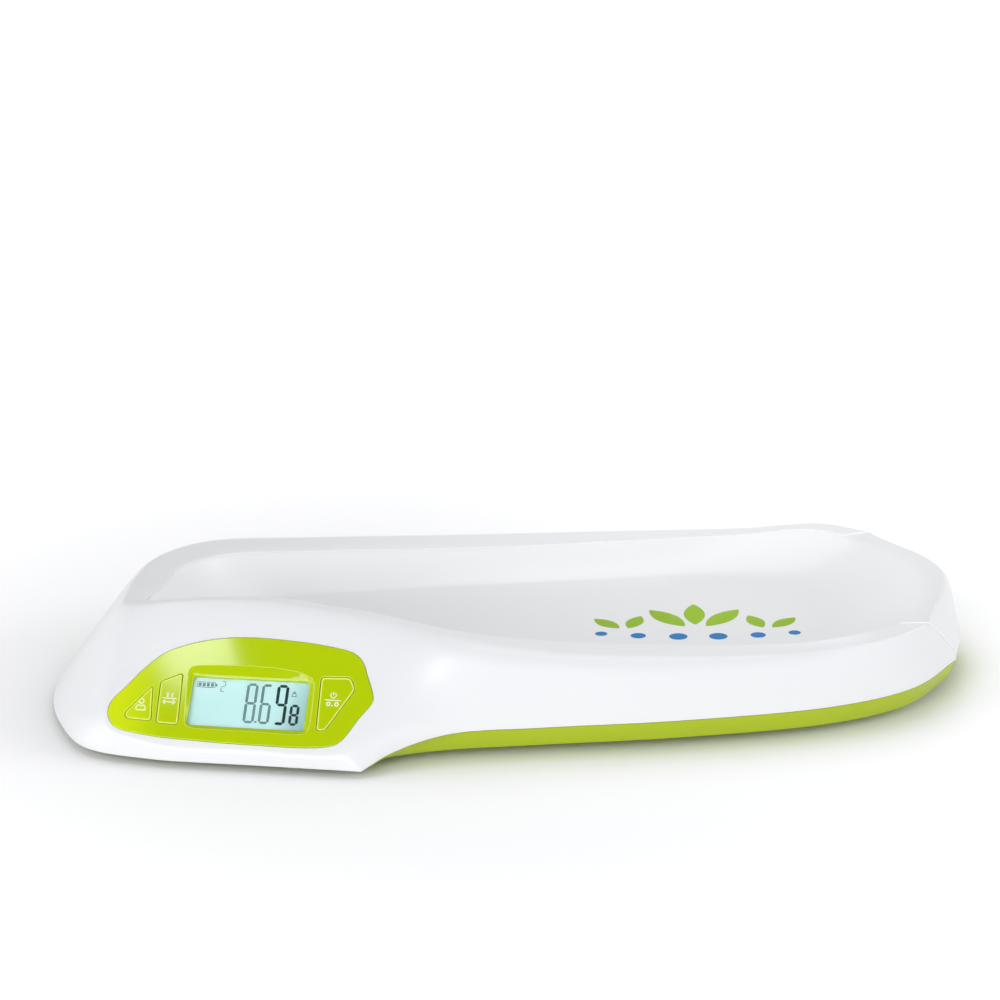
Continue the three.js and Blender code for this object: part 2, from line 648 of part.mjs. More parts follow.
function panelFascia() {
  let body = extrusion(new THREE.Shape(panelPoints), FASCIA_FOOT, FASCIA_PROUD);
  body = body.add(extrusion(lensShape(WINDOW_SKIRT), WINDOW_FOOT, FASCIA_FOOT + GAP));
  body = body.subtract(windowHopper());
  Object.keys(keyPoints).forEach((name) => {
    body = body.subtract(extrusion(keyShape(name, KEY_SLOT), FASCIA_FOOT - OVERRUN, OVERRUN));
  });
  return body;
}

function keyMiddle(name) {
  const points = keyPoints[name];
  const sum = points.reduce((total, point) => total.add(point), new THREE.Vector2());
  return sum.divideScalar(points.length);
}

function key(name) {
  const { x, y } = keyMiddle(name);
  const flangeTop = FASCIA_FOOT - GAP;
  const flange = extrusion(keyShape(name, KEY_FLANGE), flangeTop - KEY_FLANGE_DEPTH, flangeTop);
  const top = extrusion(keyShape(name, 0), flangeTop - KEY_FLANGE_DEPTH / 2, FASCIA_PROUD);
  const stem = extrusion(rectangle(KEY_STEM, KEY_STEM, x, y), STEM_FOOT, flangeTop);
  return flange.add(top).add(stem);
}

function switchBody(name) {
  const { x, y } = keyMiddle(name);
  const body = extrusion(rectangle(SWITCH_SIDE, SWITCH_SIDE, x, y), BOARD_TOP + GAP, SWITCH_TOP);
  const boreFoot = SWITCH_TOP - PLUNGER_RISE - KEY_TRAVEL;
  const bore = disc(PLUNGER_RADIUS + GAP, boreFoot, SWITCH_TOP + GAP, x, y, SMALL_SIDES);
  return body.subtract(bore);
}

function switchPlunger(name) {
  const { x, y } = keyMiddle(name);
  return disc(PLUNGER_RADIUS, SWITCH_TOP - PLUNGER_RISE + GAP, PLUNGER_TOP, x, y, SMALL_SIDES);
}

function displayWindow() {
  return extrusion(lensShape(LENS_MARGIN), LENS_TOP - LENS_DEPTH, LENS_TOP);
}

function lcdCell() {
  return extrusion(lensShape(CELL_MARGIN), CELL_TOP - CELL_DEPTH, CELL_TOP);
}

function lightGuideBody() {
  return extrusion(lensShape(CELL_MARGIN - STRIP_WIDTH / 2), LIGHT_TOP - LIGHT_DEPTH, LIGHT_TOP);
}

function lcdCarrier() {
  const outerShape = lensShape(CELL_MARGIN + CARRIER_WALL + GAP);
  const outer = extrusion(outerShape, CARRIER_FOOT - CARRIER_WALL, CELL_TOP);
  const pocket = extrusion(lensShape(CELL_MARGIN + GAP), CARRIER_FOOT, CELL_TOP + GAP);
  const slotY = -LCD_HEIGHT / 2 - CELL_MARGIN + STRIP_WIDTH / 2;
  const slotShape = rectangle(LCD_LENGTH, STRIP_WIDTH + 2 * GAP, 0, slotY);
  const slot = extrusion(slotShape, CARRIER_FOOT - CARRIER_WALL - GAP, CARRIER_FOOT + GAP);
  return outer.subtract(pocket).subtract(slot);
}

const BOARD_POINTS = BOARD_SHARES.map(onPanel);

function mainBoard() {
  return extrusion(new THREE.Shape(BOARD_POINTS), BOARD_FOOT, BOARD_TOP);
}

function buzzer() {
  const { x, y } = onPanel(BUZZER_PLACE_SHARES);
  return disc(BUZZER_RADIUS, BOARD_FOOT - GAP - BUZZER_HEIGHT, BOARD_FOOT - GAP, x, y);
}

// Base
function baseRings() {
  const edge = ringAt(0, 0, 0);
  const inward = columns.map((_, i) => normalAt(i, 0).setZ(0).normalize().negate());
  const shown = edge.map((point) => point.z > BASE_RISE + BASE_LIP);
  const flush = shown.map((_, i) => {
    const next = (i + 1) % COLUMN_COUNT;
    const last = (i + COLUMN_COUNT - 1) % COLUMN_COUNT;
    return shown[i] && shown[next] && shown[last];
  });
  const moved = (inset, height) => edge.map((point, i) => {
    const ring = point.clone().addScaledVector(inward[i], inset(i));
    return ring.setZ(height(i));
  });
  const wallInset = (i) => (flush[i] ? 0 : BASE_HIDDEN_INSET);
  const wallTop = (i) => (shown[i] ? edge[i].z - GAP : BASE_TOP + BASE_FLOOR);
  const tongueInset = (i) => (flush[i] ? BASE_TONGUE_INSET : BASE_HIDDEN_INSET + GAP);
  const tongueTop = (i) => (shown[i] ? edge[i].z + BASE_TONGUE : BASE_TOP + BASE_FLOOR + GAP);
  const cavityInset = (i) => tongueInset(i) + BASE_WALL;
  return [
    moved(cavityInset, () => BASE_TOP),
    moved(cavityInset, tongueTop),
    moved(tongueInset, tongueTop),
    moved(tongueInset, wallTop),
    moved(wallInset, wallTop),
    moved((i) => wallInset(i) + BASE_UNDERCUT, () => BASE_RISE),
  ];
}

const BAY = (() => {
  const middle = spot(BAY_PLACE_SHARES);
  const length = BATTERY_LENGTH + BATTERY_TIP + 2 * CONTACT_ROOM;
  const width = BATTERY_COUNT * (2 * BATTERY_RADIUS + BAY_SLACK) + BAY_SLACK;
  const doorTop = BASE_RISE + DOOR_DEPTH;
  const batteryLow = doorTop + GAP;
  const roof = batteryLow + 2 * BATTERY_RADIUS + BAY_SLACK;
  return { middle, length, width, doorTop, batteryLow, roof };
})();
const DOOR_LENGTH = BAY.length + 2 * DOOR_LEDGE;
const DOOR_WIDTH = BAY.width + 2 * DOOR_LEDGE;
const HINGE_X = BAY.middle.x - DOOR_LENGTH / 2;
const HINGE_Z = BASE_RISE + HINGE_RADIUS;

function batteryBay(body) {
  const { middle: { x, y }, length, width, doorTop, roof } = BAY;
  const wallLength = DOOR_LENGTH + 2 * (HINGE_RADIUS + DOOR_SLACK + BAY_WALL);
  const wallWidth = DOOR_WIDTH + 2 * (BAY_WALL + DOOR_SLACK + HINGE_PIN_LENGTH);
  const boxShape = rectangle(length + 2 * BAY_WALL, width + 2 * BAY_WALL, x, y);
  const box = extrusion(boxShape, BASE_RISE, roof + BAY_WALL);
  const frameShape = rectangle(wallLength, wallWidth, x, y);
  const frame = extrusion(frameShape, BASE_RISE, doorTop + GAP + BAY_WALL);
  const room = extrusion(rectangle(length, width, x, y), -OVERRUN, roof);
  const doorwayLength = DOOR_LENGTH + 2 * (HINGE_RADIUS + DOOR_SLACK);
  const doorwayShape = rectangle(doorwayLength, DOOR_WIDTH + 2 * DOOR_SLACK, x, y);
  const doorway = extrusion(doorwayShape, -OVERRUN, doorTop + GAP);
  const pinLength = DOOR_WIDTH + 2 * (DOOR_SLACK + HINGE_PIN_LENGTH);
  const pinHole = new THREE.CylinderGeometry(
    HINGE_RADIUS + GAP, HINGE_RADIUS + GAP, pinLength, SMALL_SIDES,
  );
  pinHole.translate(HINGE_X, y, HINGE_Z);
  const slotShape = rectangle(
    2 * (LATCH_TONGUE + DOOR_SLACK), LATCH_WIDTH + 2 * DOOR_SLACK, x + DOOR_LENGTH / 2, y,
  );
  const latchSlot = extrusion(slotShape, -OVERRUN, doorTop + GAP);
  const hollows = [room, doorway, solid(pinHole), latchSlot];
  return hollows.reduce((made, hollow) => made.subtract(hollow), body.add(box).add(frame));
}

function batteryDoor() {
  const { middle: { x, y }, doorTop } = BAY;
  const plate = extrusion(rectangle(DOOR_LENGTH, DOOR_WIDTH, x, y), BASE_RISE, doorTop);
  const pinLength = DOOR_WIDTH + 2 * HINGE_PIN_LENGTH;
  const pin = new THREE.CylinderGeometry(HINGE_RADIUS, HINGE_RADIUS, pinLength, SMALL_SIDES);
  pin.translate(HINGE_X, y, HINGE_Z);
  const end = x + DOOR_LENGTH / 2;
  const tongueShape = rectangle(2 * LATCH_TONGUE, LATCH_WIDTH, end, y);
  const tongue = extrusion(tongueShape, doorTop - LATCH_DEPTH, doorTop);
  const gripShape = rectangle(LATCH_GRIP, LATCH_WIDTH, end - LATCH_GRIP, y);
  const grip = extrusion(gripShape, BASE_RISE - GAP, BASE_RISE + DOOR_DEPTH / 2);
  return plate.add(solid(pin)).add(tongue).subtract(grip);
}

const footSpots = FOOT_PLACE_SHARES.map(spot);
const CELL_LOW = BASE_TOP + SEAT_RISE;

function baseShell() {
  const middle = new THREE.Vector3(0, TRAY_LINE, BASE_TOP);
  let body = ringSolid(middle, baseRings(), middle.clone().setZ(BASE_RISE));
  const ribLength = RIB_LENGTH_SHARE * LENGTH;
  const ribSpan = 2 * RIB_WIDTH_SHARE * TRAY_HALF_WIDTH;
  LONG_RIB_SHARES.forEach((share) => {
    const { y } = spot([0, share]);
    const shape = rectangle(ribLength, RIB_WIDTH, 0, y);
    body = body.add(extrusion(shape, BASE_TOP - GAP, BASE_TOP + RIB_HEIGHT));
  });
  CROSS_RIB_SHARES.forEach((share) => {
    const { x } = spot([share, 0]);
    const shape = rectangle(RIB_WIDTH, ribSpan, x, TRAY_LINE);
    body = body.add(extrusion(shape, BASE_TOP - GAP, BASE_TOP + RIB_HEIGHT));
  });
  footSpots.forEach(({ x, y }) => {
    body = body.subtract(disc(FOOT_RADIUS + FOOT_SLACK, -OVERRUN, BASE_TOP + OVERRUN, x, y));
  });
  SCREW_PLACE_SHARES.map(spot).forEach(({ x, y }) => {
    const recess = SCREW_HEAD_RADIUS + GAP;
    body = body.add(disc(recess + BOSS_WALL, BASE_RISE, BOSS_FOOT - GAP, x, y, SMALL_SIDES));
    body = body.subtract(disc(recess, -OVERRUN, BASE_TOP + SCREW_HEAD, x, y, SMALL_SIDES));
    body = body.subtract(disc(SCREW_RADIUS + GAP, 0, BOSS_FOOT + GAP, x, y, SMALL_SIDES));
  });
  return batteryBay(body);
}

function screw({ x, y }) {
  const headTop = BASE_TOP + SCREW_HEAD - GAP;
  const head = disc(SCREW_HEAD_RADIUS, headTop - SCREW_HEAD, headTop, x, y, SMALL_SIDES);
  const shank = disc(SCREW_RADIUS, headTop - GAP, BASE_RISE + SCREW_LENGTH, x, y, SMALL_SIDES);
  return head.add(shank);
}

// Feet: a rubber pad in a disc whose stem carries the load cell's tongue
function footPad({ x, y }) {
  return disc(PAD_RADIUS, 0, PAD_DEPTH, x, y);
}

function footDisc({ x, y }) {
  const low = PAD_DEPTH + GAP;
  const rim = low - PAD_SINK;
  const plate = disc(FOOT_RADIUS, rim, low + FOOT_DISC, x, y);
  const seat = disc(PAD_RADIUS + GAP, rim - GAP, low, x, y);
  const stem = disc(STEM_RADIUS, low + FOOT_DISC - GAP, CELL_LOW - GAP, x, y, SMALL_SIDES);
  return plate.subtract(seat).add(stem);
}

function cellSeat({ x, y }) {
  const square = (side, low, high) => extrusion(rectangle(side, side, x, y), low, high);
  const low = BASE_TOP + GAP;
  const flange = disc(FOOT_RADIUS + SEAT_FLANGE, low, low + SEAT_FLANGE_DEPTH, x, y);
  const outer = square(CELL_SIDE + 2 * (GAP + SEAT_WALL), low, CELL_LOW + CELL_THICKNESS);
  const nest = square(CELL_SIDE + 2 * GAP, CELL_LOW - GAP, CELL_LOW + OVERRUN);
  const hole = square(CELL_SIDE - 2 * SEAT_SHELF, BASE_TOP, CELL_LOW + OVERRUN);
  const well = disc(FOOT_RADIUS + FOOT_SLACK, BASE_TOP, CELL_LOW - SEAT_SHELF, x, y);
  return outer.add(flange).subtract(nest).subtract(hole).subtract(well);
}

function loadCell({ x, y }) {
  const top = CELL_LOW + CELL_THICKNESS;
  const plate = extrusion(rectangle(CELL_SIDE, CELL_SIDE, x, y), CELL_LOW, top);
  const half = CELL_TONGUE / 2 + CELL_SLOT / 2;
  const reach = CELL_SIDE / 2 - SEAT_SHELF;
  const slots = [
    rectangle(2 * reach, CELL_SLOT, x, y - half),
    rectangle(2 * reach, CELL_SLOT, x, y + half),
    rectangle(CELL_SLOT, CELL_TONGUE + 2 * CELL_SLOT, x + reach - CELL_SLOT / 2, y),
  ].map((shape) => extrusion(shape, CELL_LOW - GAP, top + GAP));
  return slots.reduce((made, slot) => made.subtract(slot), plate);
}

// Batteries lie along X, side by side, turned end for end in turn.
function batteryY(i) {
  const pitch = 2 * BATTERY_RADIUS + BAY_SLACK;
  return BAY.middle.y + (i - (BATTERY_COUNT - 1) / 2) * pitch;
}

function battery(i) {
  const profile = [
    [0, -BATTERY_LENGTH / 2],
    [BATTERY_RADIUS, -BATTERY_LENGTH / 2],
    [BATTERY_RADIUS, BATTERY_LENGTH / 2],
    [BATTERY_TIP_RADIUS, BATTERY_LENGTH / 2],
    [BATTERY_TIP_RADIUS, BATTERY_LENGTH / 2 + BATTERY_TIP],
    [0, BATTERY_LENGTH / 2 + BATTERY_TIP],
  ].map(([radius, along]) => new THREE.Vector2(radius, along));
  const geometry = new THREE.LatheGeometry(profile, SMALL_SIDES);
  geometry.rotateZ(i % 2 === 0 ? -Math.PI / 2 : Math.PI / 2);
  geometry.translate(BAY.middle.x, batteryY(i), BAY.batteryLow + BATTERY_RADIUS);
  return solid(geometry);
}

// A strip across one end of the bay with a spring bump at each battery
function contactStrip(sign) {
  const wall = BAY.middle.x + sign * (BAY.length / 2 - GAP);
  const z = BAY.batteryLow + BATTERY_RADIUS;
  const low = z - BATTERY_RADIUS / 2;
  const high = z + BATTERY_RADIUS / 2;
  const width = BAY.width - 2 * GAP;
  const inner = wall - sign * CONTACT_THICKNESS / 2;
  let strip = extrusion(rectangle(CONTACT_THICKNESS, width, inner, BAY.middle.y), low, high);
  for (let i = 0; i < BATTERY_COUNT; i += 1) {
    const tipHere = (i % 2 === 0) === (sign > 0);
    const face = BAY.middle.x + sign * (BATTERY_LENGTH / 2 + (tipHere ? BATTERY_TIP : 0) + GAP);
    const reach = Math.abs(inner - face);
    const bump = new THREE.CylinderGeometry(CONTACT_BUMP, CONTACT_BUMP, reach, SMALL_SIDES);
    bump.rotateZ(Math.PI / 2);
    bump.translate((inner + face) / 2, batteryY(i), z);
    strip = strip.add(solid(bump));
  }
  return strip;
}

// Assembly
const scale = new THREE.Group();
const panel = new THREE.Group();
panel.applyMatrix4(panelFrame);
scale.add(panel);

function put(group, name, body, look) {
  const mesh = new THREE.Mesh(geometryOf(body), look);
  mesh.name = name;
  group.add(mesh);
}

put(scale, 'upper_shell', upperShell(), glossyWhite);
put(scale, 'tray_deck', trayDeck(), deckWhite);
put(scale, 'base_shell', baseShell(), baseGreen);
put(scale, 'battery_door', batteryDoor(), baseGreen);
put(panel, 'panel_fascia', panelFascia(), limeGreen);
put(panel, 'display_window', displayWindow(), clearLens);
put(panel, 'lcd_cell', lcdCell(), displayCyan);
put(panel, 'lcd_light_guide', lightGuideBody(), lightGuide);
put(panel, 'lcd_carrier', lcdCarrier(), greyPlastic);
put(panel, 'main_board', mainBoard(), boardGreen);
put(panel, 'buzzer', buzzer(), blackPlastic);
Object.keys(keyPoints).forEach((name) => {
  put(panel, `key_${name}`, key(name), limeGreen);
  put(panel, `switch_${name}`, switchBody(name), blackPlastic);
  put(panel, `switch_plunger_${name}`, switchPlunger(name), greyPlastic);
});
footSpots.forEach((where, i) => {
  put(scale, `foot_${i + 1}`, footDisc(where), greyPlastic);
  put(scale, `foot_pad_${i + 1}`, footPad(where), rubber);
  put(scale, `load_cell_${i + 1}`, loadCell(where), steel);
  put(scale, `cell_seat_${i + 1}`, cellSeat(where), greyPlastic);
});
SCREW_PLACE_SHARES.map(spot).forEach((where, i) => {
  put(scale, `screw_${i + 1}`, screw(where), steel);
});
for (let i = 0; i < BATTERY_COUNT; i += 1) {
  put(scale, `battery_${i + 1}`, battery(i), cellJacket);
}
put(scale, 'contact_strip_head', contactStrip(-1), nickel);
put(scale, 'contact_strip_foot', contactStrip(1), nickel);

export default scale;
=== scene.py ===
"""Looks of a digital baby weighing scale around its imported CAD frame."""

import math

import bmesh
import bpy
import numpy as np
from mathutils import Matrix, Vector
from mathutils.bvhtree import BVHTree


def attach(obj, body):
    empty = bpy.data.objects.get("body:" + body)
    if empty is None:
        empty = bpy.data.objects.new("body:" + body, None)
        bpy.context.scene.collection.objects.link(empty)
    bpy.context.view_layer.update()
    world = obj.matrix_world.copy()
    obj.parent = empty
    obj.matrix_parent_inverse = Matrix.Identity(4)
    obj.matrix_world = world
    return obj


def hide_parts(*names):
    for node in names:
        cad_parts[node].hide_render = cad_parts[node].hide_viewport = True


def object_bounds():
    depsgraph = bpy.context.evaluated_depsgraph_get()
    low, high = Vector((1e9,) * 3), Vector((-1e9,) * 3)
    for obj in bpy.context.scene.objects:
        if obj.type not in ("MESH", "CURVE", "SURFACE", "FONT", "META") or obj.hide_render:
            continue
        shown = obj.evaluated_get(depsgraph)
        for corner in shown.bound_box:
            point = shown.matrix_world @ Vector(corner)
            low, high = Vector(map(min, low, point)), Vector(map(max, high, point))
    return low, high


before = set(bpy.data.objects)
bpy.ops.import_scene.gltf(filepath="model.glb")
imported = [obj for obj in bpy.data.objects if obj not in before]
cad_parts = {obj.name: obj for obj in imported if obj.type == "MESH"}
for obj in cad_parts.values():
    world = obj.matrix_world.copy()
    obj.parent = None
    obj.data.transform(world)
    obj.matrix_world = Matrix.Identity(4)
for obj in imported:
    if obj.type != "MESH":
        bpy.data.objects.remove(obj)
CAD_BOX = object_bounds()
MM = 0.001

# Sizes shared with the frame, in millimetres
LENGTH, HALF_WIDTH, HEIGHT = 600.0, 138.0, 85.0
TRAY_LINE = 9.246
GAP = 0.3
WALL = 2.8
DECK_DROP = 0.6

# Half sections round the tray: edge, crest, seam and floor, as shares of half the length, half the width
# and the height. The foot end's are given up to its side, and are mirrored for the other side.
FOOT_SECTIONS = [
    [[1.0, 0.0, 0.241], [0.945, 0.0, 0.75], [0.9, 0.0, 0.72], [0.702, 0.0]],
    [[0.948, 0.423, 0.241], [0.858, 0.645, 0.697], [0.825, 0.55, 0.688], [0.637, 0.352]],
    [[0.822, 0.746, 0.241], [0.76, 0.808, 0.689], [0.73, 0.71, 0.7], [0.54, 0.472]],
    [[0.637, 0.923, 0.241], [0.59, 0.86, 0.647], [0.575, 0.75, 0.66], [0.41, 0.521]],
    [[0.297, 1.0, 0.241], [0.297, 0.85, 0.669], [0.297, 0.718, 0.673], [0.232, 0.542]],
]
HEAD_SECTIONS = [
    [[-0.092, 0.994, 0.241], [-0.092, 0.845, 0.706], [-0.092, 0.71, 0.672], [-0.092, 0.542]],
    [[-0.417, 0.993, 0.241], [-0.384, 0.83, 0.747], [-0.378, 0.695, 0.713], [-0.352, 0.535]],
    [[-0.692, 0.951, 0.218], [-0.611, 0.761, 0.793], [-0.588, 0.641, 0.759], [-0.52, 0.486]],
    [[-0.87, 0.69, 0.138], [-0.747, 0.535, 0.833], [-0.699, 0.437, 0.799], [-0.624, 0.31]],
    [[-0.95, 0.352, 0.069], [-0.799, 0.239, 0.862], [-0.747, 0.141, 0.828], [-0.666, 0.085]],
    [[-0.996, 0.0, 0.057], [-0.828, -0.042, 0.891], [-0.786, -0.049, 0.845], [-0.682, -0.028]],
    [[-0.99, -0.36, 0.057], [-0.841, -0.254, 0.925], [-0.793, -0.148, 0.869], [-0.669, -0.063]],
    [[-0.945, -0.675, 0.057], [-0.757, -0.324, 0.977], [-0.721, -0.197, 0.885], [-0.611, -0.085]],
    [[-0.822, -0.845, 0.057], [-0.643, -0.366, 1.0], [-0.621, -0.232, 0.905], [-0.54, -0.106]],
    [[-0.611, -0.989, 0.057], [-0.514, -0.43, 1.0], [-0.501, -0.296, 0.9], [-0.449, -0.169]],
    [[-0.387, -1.134, 0.057], [-0.423, -0.493, 0.96], [-0.407, -0.359, 0.87], [-0.371, -0.254]],
    [[-0.319, -1.056, 0.138], [-0.339, -0.563, 0.935], [-0.323, -0.43, 0.855], [-0.3, -0.338]],
    [[-0.196, -1.004, 0.23], [-0.209, -0.725, 0.886], [-0.203, -0.592, 0.82], [-0.196, -0.465]],
    [[0.005, -1.0, 0.241], [0.005, -0.82, 0.752], [0.005, -0.684, 0.745], [0.005, -0.535]],
]
SECTION_COUNT = 2 * len(FOOT_SECTIONS) - 1 + len(HEAD_SECTIONS)
# Indices of sections
FAR_CORNER, NEAR_CORNER = 1, SECTION_COUNT - 1
FIRST_HEAD = 8
FIRST_POD, NOSE, LAST_POD = 12, 15, 16
FLOOR = 0.448
FLOOR_MIDDLE = 0.43
# The outer face's low and high lines: shares of the way from the edge to the crest, flat and up
SIDE_WALL = ((0.1, 0.22), (0.4, 0.75))
HEAD_WALL = ((0.17, 0.24), (0.68, 0.75))
FOOT_WALLS = (((0.14, 0.24), (0.45, 0.74)), ((0.3, 0.44), (0.65, 0.73)),
              ((0.2, 0.32), (0.52, 0.73)), ((0.14, 0.27), (0.45, 0.74)))
RAIL_TOP = 0.55
INNER_WALL = 0.6

PANEL_LENGTH, PANEL_HEIGHT = 166.02, 74.035
PANEL_PLACE = (-0.605, -0.811, 0.428)
PANEL_YAW, PANEL_TILT = math.radians(16.4), math.radians(47)
# Shares of the panel's length and height: the pod face's foot and head at each section, and the outlines
POD_FACE = [
    [[-0.588, -0.195], [-0.545, 0.327]],
    [[-0.434, -0.41], [-0.352, 0.621]],
    [[0.0, -0.43], [0.0, 0.727]],
    [[0.375, -0.41], [0.446, 0.634]],
    [[0.51, -0.04], [0.522, 0.396]],
]
PANEL_OUTLINE = [
    [-0.5, -0.275], [-0.37, -0.341], [-0.19, -0.367], [0.0, -0.379], [0.31, -0.362], [0.363, -0.31],
    [0.424, -0.087], [0.468, 0.074], [0.469, 0.125], [0.434, 0.333], [0.413, 0.444], [0.374, 0.524],
    [0.274, 0.577], [0.126, 0.61], [-0.021, 0.621], [-0.133, 0.6], [-0.241, 0.543], [-0.345, 0.439],
    [-0.412, 0.296], [-0.473, 0.116], [-0.528, -0.057], [-0.532, -0.165],
]
KEY_OUTLINES = {
    "user": [[-0.377, 0.12], [-0.363, -0.209], [-0.46, -0.198], [-0.468, -0.15]],
    "hold": [[-0.348, 0.161], [-0.269, 0.248], [-0.259, -0.232], [-0.343, -0.225]],
    "zero": [[0.263, 0.281], [0.375, 0.291], [0.398, 0.186], [0.304, -0.211], [0.27, -0.215]],
}
KEY_CORNER = 2.4
KEY_SLOT = 0.35
KEY_FLANGE, KEY_FLANGE_DEPTH = 0.8, 1.2
KEY_STEM = 4.0
FASCIA_DEPTH, FASCIA_PROUD = 2.2, 0.5
LCD_LENGTH, LCD_HEIGHT = 73.38, 33.98
# Heights over the panel's plane, from the window's foot down to the plungers under the keys
WINDOW_DEPTH, LENS_DEPTH, CELL_DEPTH, LIGHT_DEPTH, CARRIER_WALL = 3.4, 1.2, 2.2, 2.6, 1.3
SWITCH_HEIGHT, PLUNGER_RISE = 4.0, 1.5
WINDOW_FOOT = FASCIA_PROUD - WINDOW_DEPTH - LENS_DEPTH / 2
CELL_TOP = WINDOW_FOOT - GAP - LENS_DEPTH - GAP
BOARD_TOP = CELL_TOP - CELL_DEPTH - GAP - LIGHT_DEPTH - GAP - CARRIER_WALL - GAP
PLUNGER_TOP = BOARD_TOP + GAP + SWITCH_HEIGHT + PLUNGER_RISE


# Curves of the surface
def place(shares):
    x, y = shares[:2]
    z = shares[2] if len(shares) > 2 else FLOOR
    return np.array([x * LENGTH / 2, TRAY_LINE + y * HALF_WIDTH, z * HEIGHT])


def spot(shares):
    return tuple(place(shares)[:2])


def panel_matrix():
    cos_yaw, sin_yaw = math.cos(PANEL_YAW), math.sin(PANEL_YAW)
    cos_tilt, sin_tilt = math.cos(PANEL_TILT), math.sin(PANEL_TILT)
    across = Vector((cos_yaw, -sin_yaw, 0))
    normal = Vector((-sin_yaw * cos_tilt, -cos_yaw * cos_tilt, sin_tilt))
    turn = Matrix((across, normal.cross(across), normal)).transposed().to_4x4()
    return Matrix.Translation(Vector(place(PANEL_PLACE)) * MM) @ turn


PANEL = panel_matrix()
PANEL_NORMAL = np.array(PANEL.col[2][:3])
PANEL_MIDDLE = place(PANEL_PLACE)


def on_panel(shares):
    return np.asarray(shares) * (PANEL_LENGTH, PANEL_HEIGHT)


def panel_point(x, y):
    """A point of the panel's own plane as a place in the frame."""
    return np.array(PANEL @ Vector((x * MM, y * MM, 0))) / MM


def catmull(points, closed):
    """Centripetal Catmull-Rom curve through the points; the parameter counts points."""
    points = np.asarray(points, float)
    count = len(points)

    def at(index):
        base = int(math.floor(index + 1e-9))
        part = index - base
        if closed:
            p0, p1, p2, p3 = (points[(base + k) % count] for k in (-1, 0, 1, 2))
        else:
            if base >= count - 1:
                base, part = count - 2, 1.0
            p1, p2 = points[base], points[base + 1]
            p0 = points[base - 1] if base > 0 else 2 * points[0] - points[1]
            p3 = points[base + 2] if base + 2 < count else 2 * points[-1] - points[-2]
        d0, d1, d2 = (max(np.sum((b - a) ** 2) ** 0.25, 1e-4) for a, b in ((p0, p1), (p1, p2), (p2, p3)))
        t1 = ((p1 - p0) / d0 - (p2 - p0) / (d0 + d1) + (p2 - p1) / d1) * d1
        t2 = ((p2 - p1) / d1 - (p3 - p1) / (d1 + d2) + (p3 - p2) / d2) * d1
        c2 = -3 * p1 + 3 * p2 - 2 * t1 - t2
        c3 = 2 * p1 - 2 * p2 + t1 + t2
        return p1 + part * (t1 + part * (c2 + part * c3))

    return at


def wall_shares(index):
    from_foot = min(index, SECTION_COUNT - index)
    if from_foot < len(FOOT_WALLS):
        return FOOT_WALLS[from_foot]
    return HEAD_WALL if FIRST_HEAD <= index < FIRST_POD else SIDE_WALL


def guide_points(section, index):
    """One section's points on the eight guides: edge, lip, low, high, shoulder, crest, seam and floor."""
    edge, crest, seam, floor = section
    shares = wall_shares(index)
    mix = [np.array([flat, flat, rise]) for flat, rise in shares]
    low, high = (edge * (1 - m) + crest * m for m in mix)
    reach = shares[0][0] / (shares[1][0] - shares[0][0])
    lip = low - (high - low) * reach
    if FIRST_POD <= index <= LAST_POD:
        low, high = (panel_point(*on_panel(share)) for share in POD_FACE[index - FIRST_POD])
        away = (edge - PANEL_MIDDLE)[:2] @ PANEL_NORMAL[:2]
        lip = np.array([edge[0], edge[1], PANEL_MIDDLE[2] - away / PANEL_NORMAL[2]])
    climb = (crest[2] - high[2]) / (high[2] - low[2])
    shoulder = high + (high - low) * climb
    return [edge, lip, low, high, shoulder, crest, seam, floor]


def loop_through(points, corners):
    """Closed curve through the points that may turn sharply at the corners."""
    count = len(points)
    if not corners:
        return catmull(points, True)
    spans = []
    for i, start in enumerate(corners):
        steps = (corners[(i + 1) % len(corners)] - start) % count
        spans.append((start, steps, catmull([points[(start + k) % count] for k in range(steps + 1)], False)))

    def at(index):
        for start, steps, curve in spans:
            along = (index - start) % count
            if along <= steps + 1e-9:
                return curve(min(along, steps))
        raise ValueError(index)

    return at


def make_guides():
    mirrored = [[[x, -y, *rest] for x, y, *rest in section] for section in FOOT_SECTIONS[:0:-1]]
    sections = FOOT_SECTIONS + HEAD_SECTIONS + mirrored
    points = [guide_points([place(p) for p in section], i) for i, section in enumerate(sections)]
    edge = [FAR_CORNER, NOSE, NEAR_CORNER]
    face = [FAR_CORNER, FIRST_POD, LAST_POD, NEAR_CORNER]
    corners = [edge, edge, face, face, face, [FAR_CORNER, NEAR_CORNER], [], []]
    return [loop_through([p[k] for p in points], corner) for k, corner in enumerate(corners)]


GUIDES = make_guides()
FLOOR_CENTRE = np.array([0, TRAY_LINE, FLOOR_MIDDLE * HEIGHT])


def guides_at(index):
    return [guide(index) for guide in GUIDES]


def bezier(start, control, end, shares):
    t = np.asarray(shares)[:, None]
    return (1 - t) ** 2 * start + 2 * t * (1 - t) * control + t ** 2 * end


def straight(start, end, shares):
    t = np.asarray(shares)[:, None]
    return start * (1 - t) + end * t


# Outlines
def unit(vectors):
    return vectors / np.linalg.norm(vectors, axis=1)[:, None]


def offset(points, distance):
    """Moves a closed counterclockwise outline outwards by a distance, or inwards by a negative one."""
    points = np.asarray(points, float)
    after = unit(np.roll(points, -1, axis=0) - points)
    mean = unit(unit(points - np.roll(points, 1, axis=0)) + after)
    stretch = distance / np.maximum(np.sum(mean * after, axis=1), 0.5)
    return points + np.column_stack([mean[:, 1], -mean[:, 0]]) * stretch[:, None]


def counterclockwise(points):
    points = np.asarray(points, float)
    x, y = points[:, 0], points[:, 1]
    area = np.sum(x * np.roll(y, -1) - y * np.roll(x, -1))
    return points if area > 0 else points[::-1]


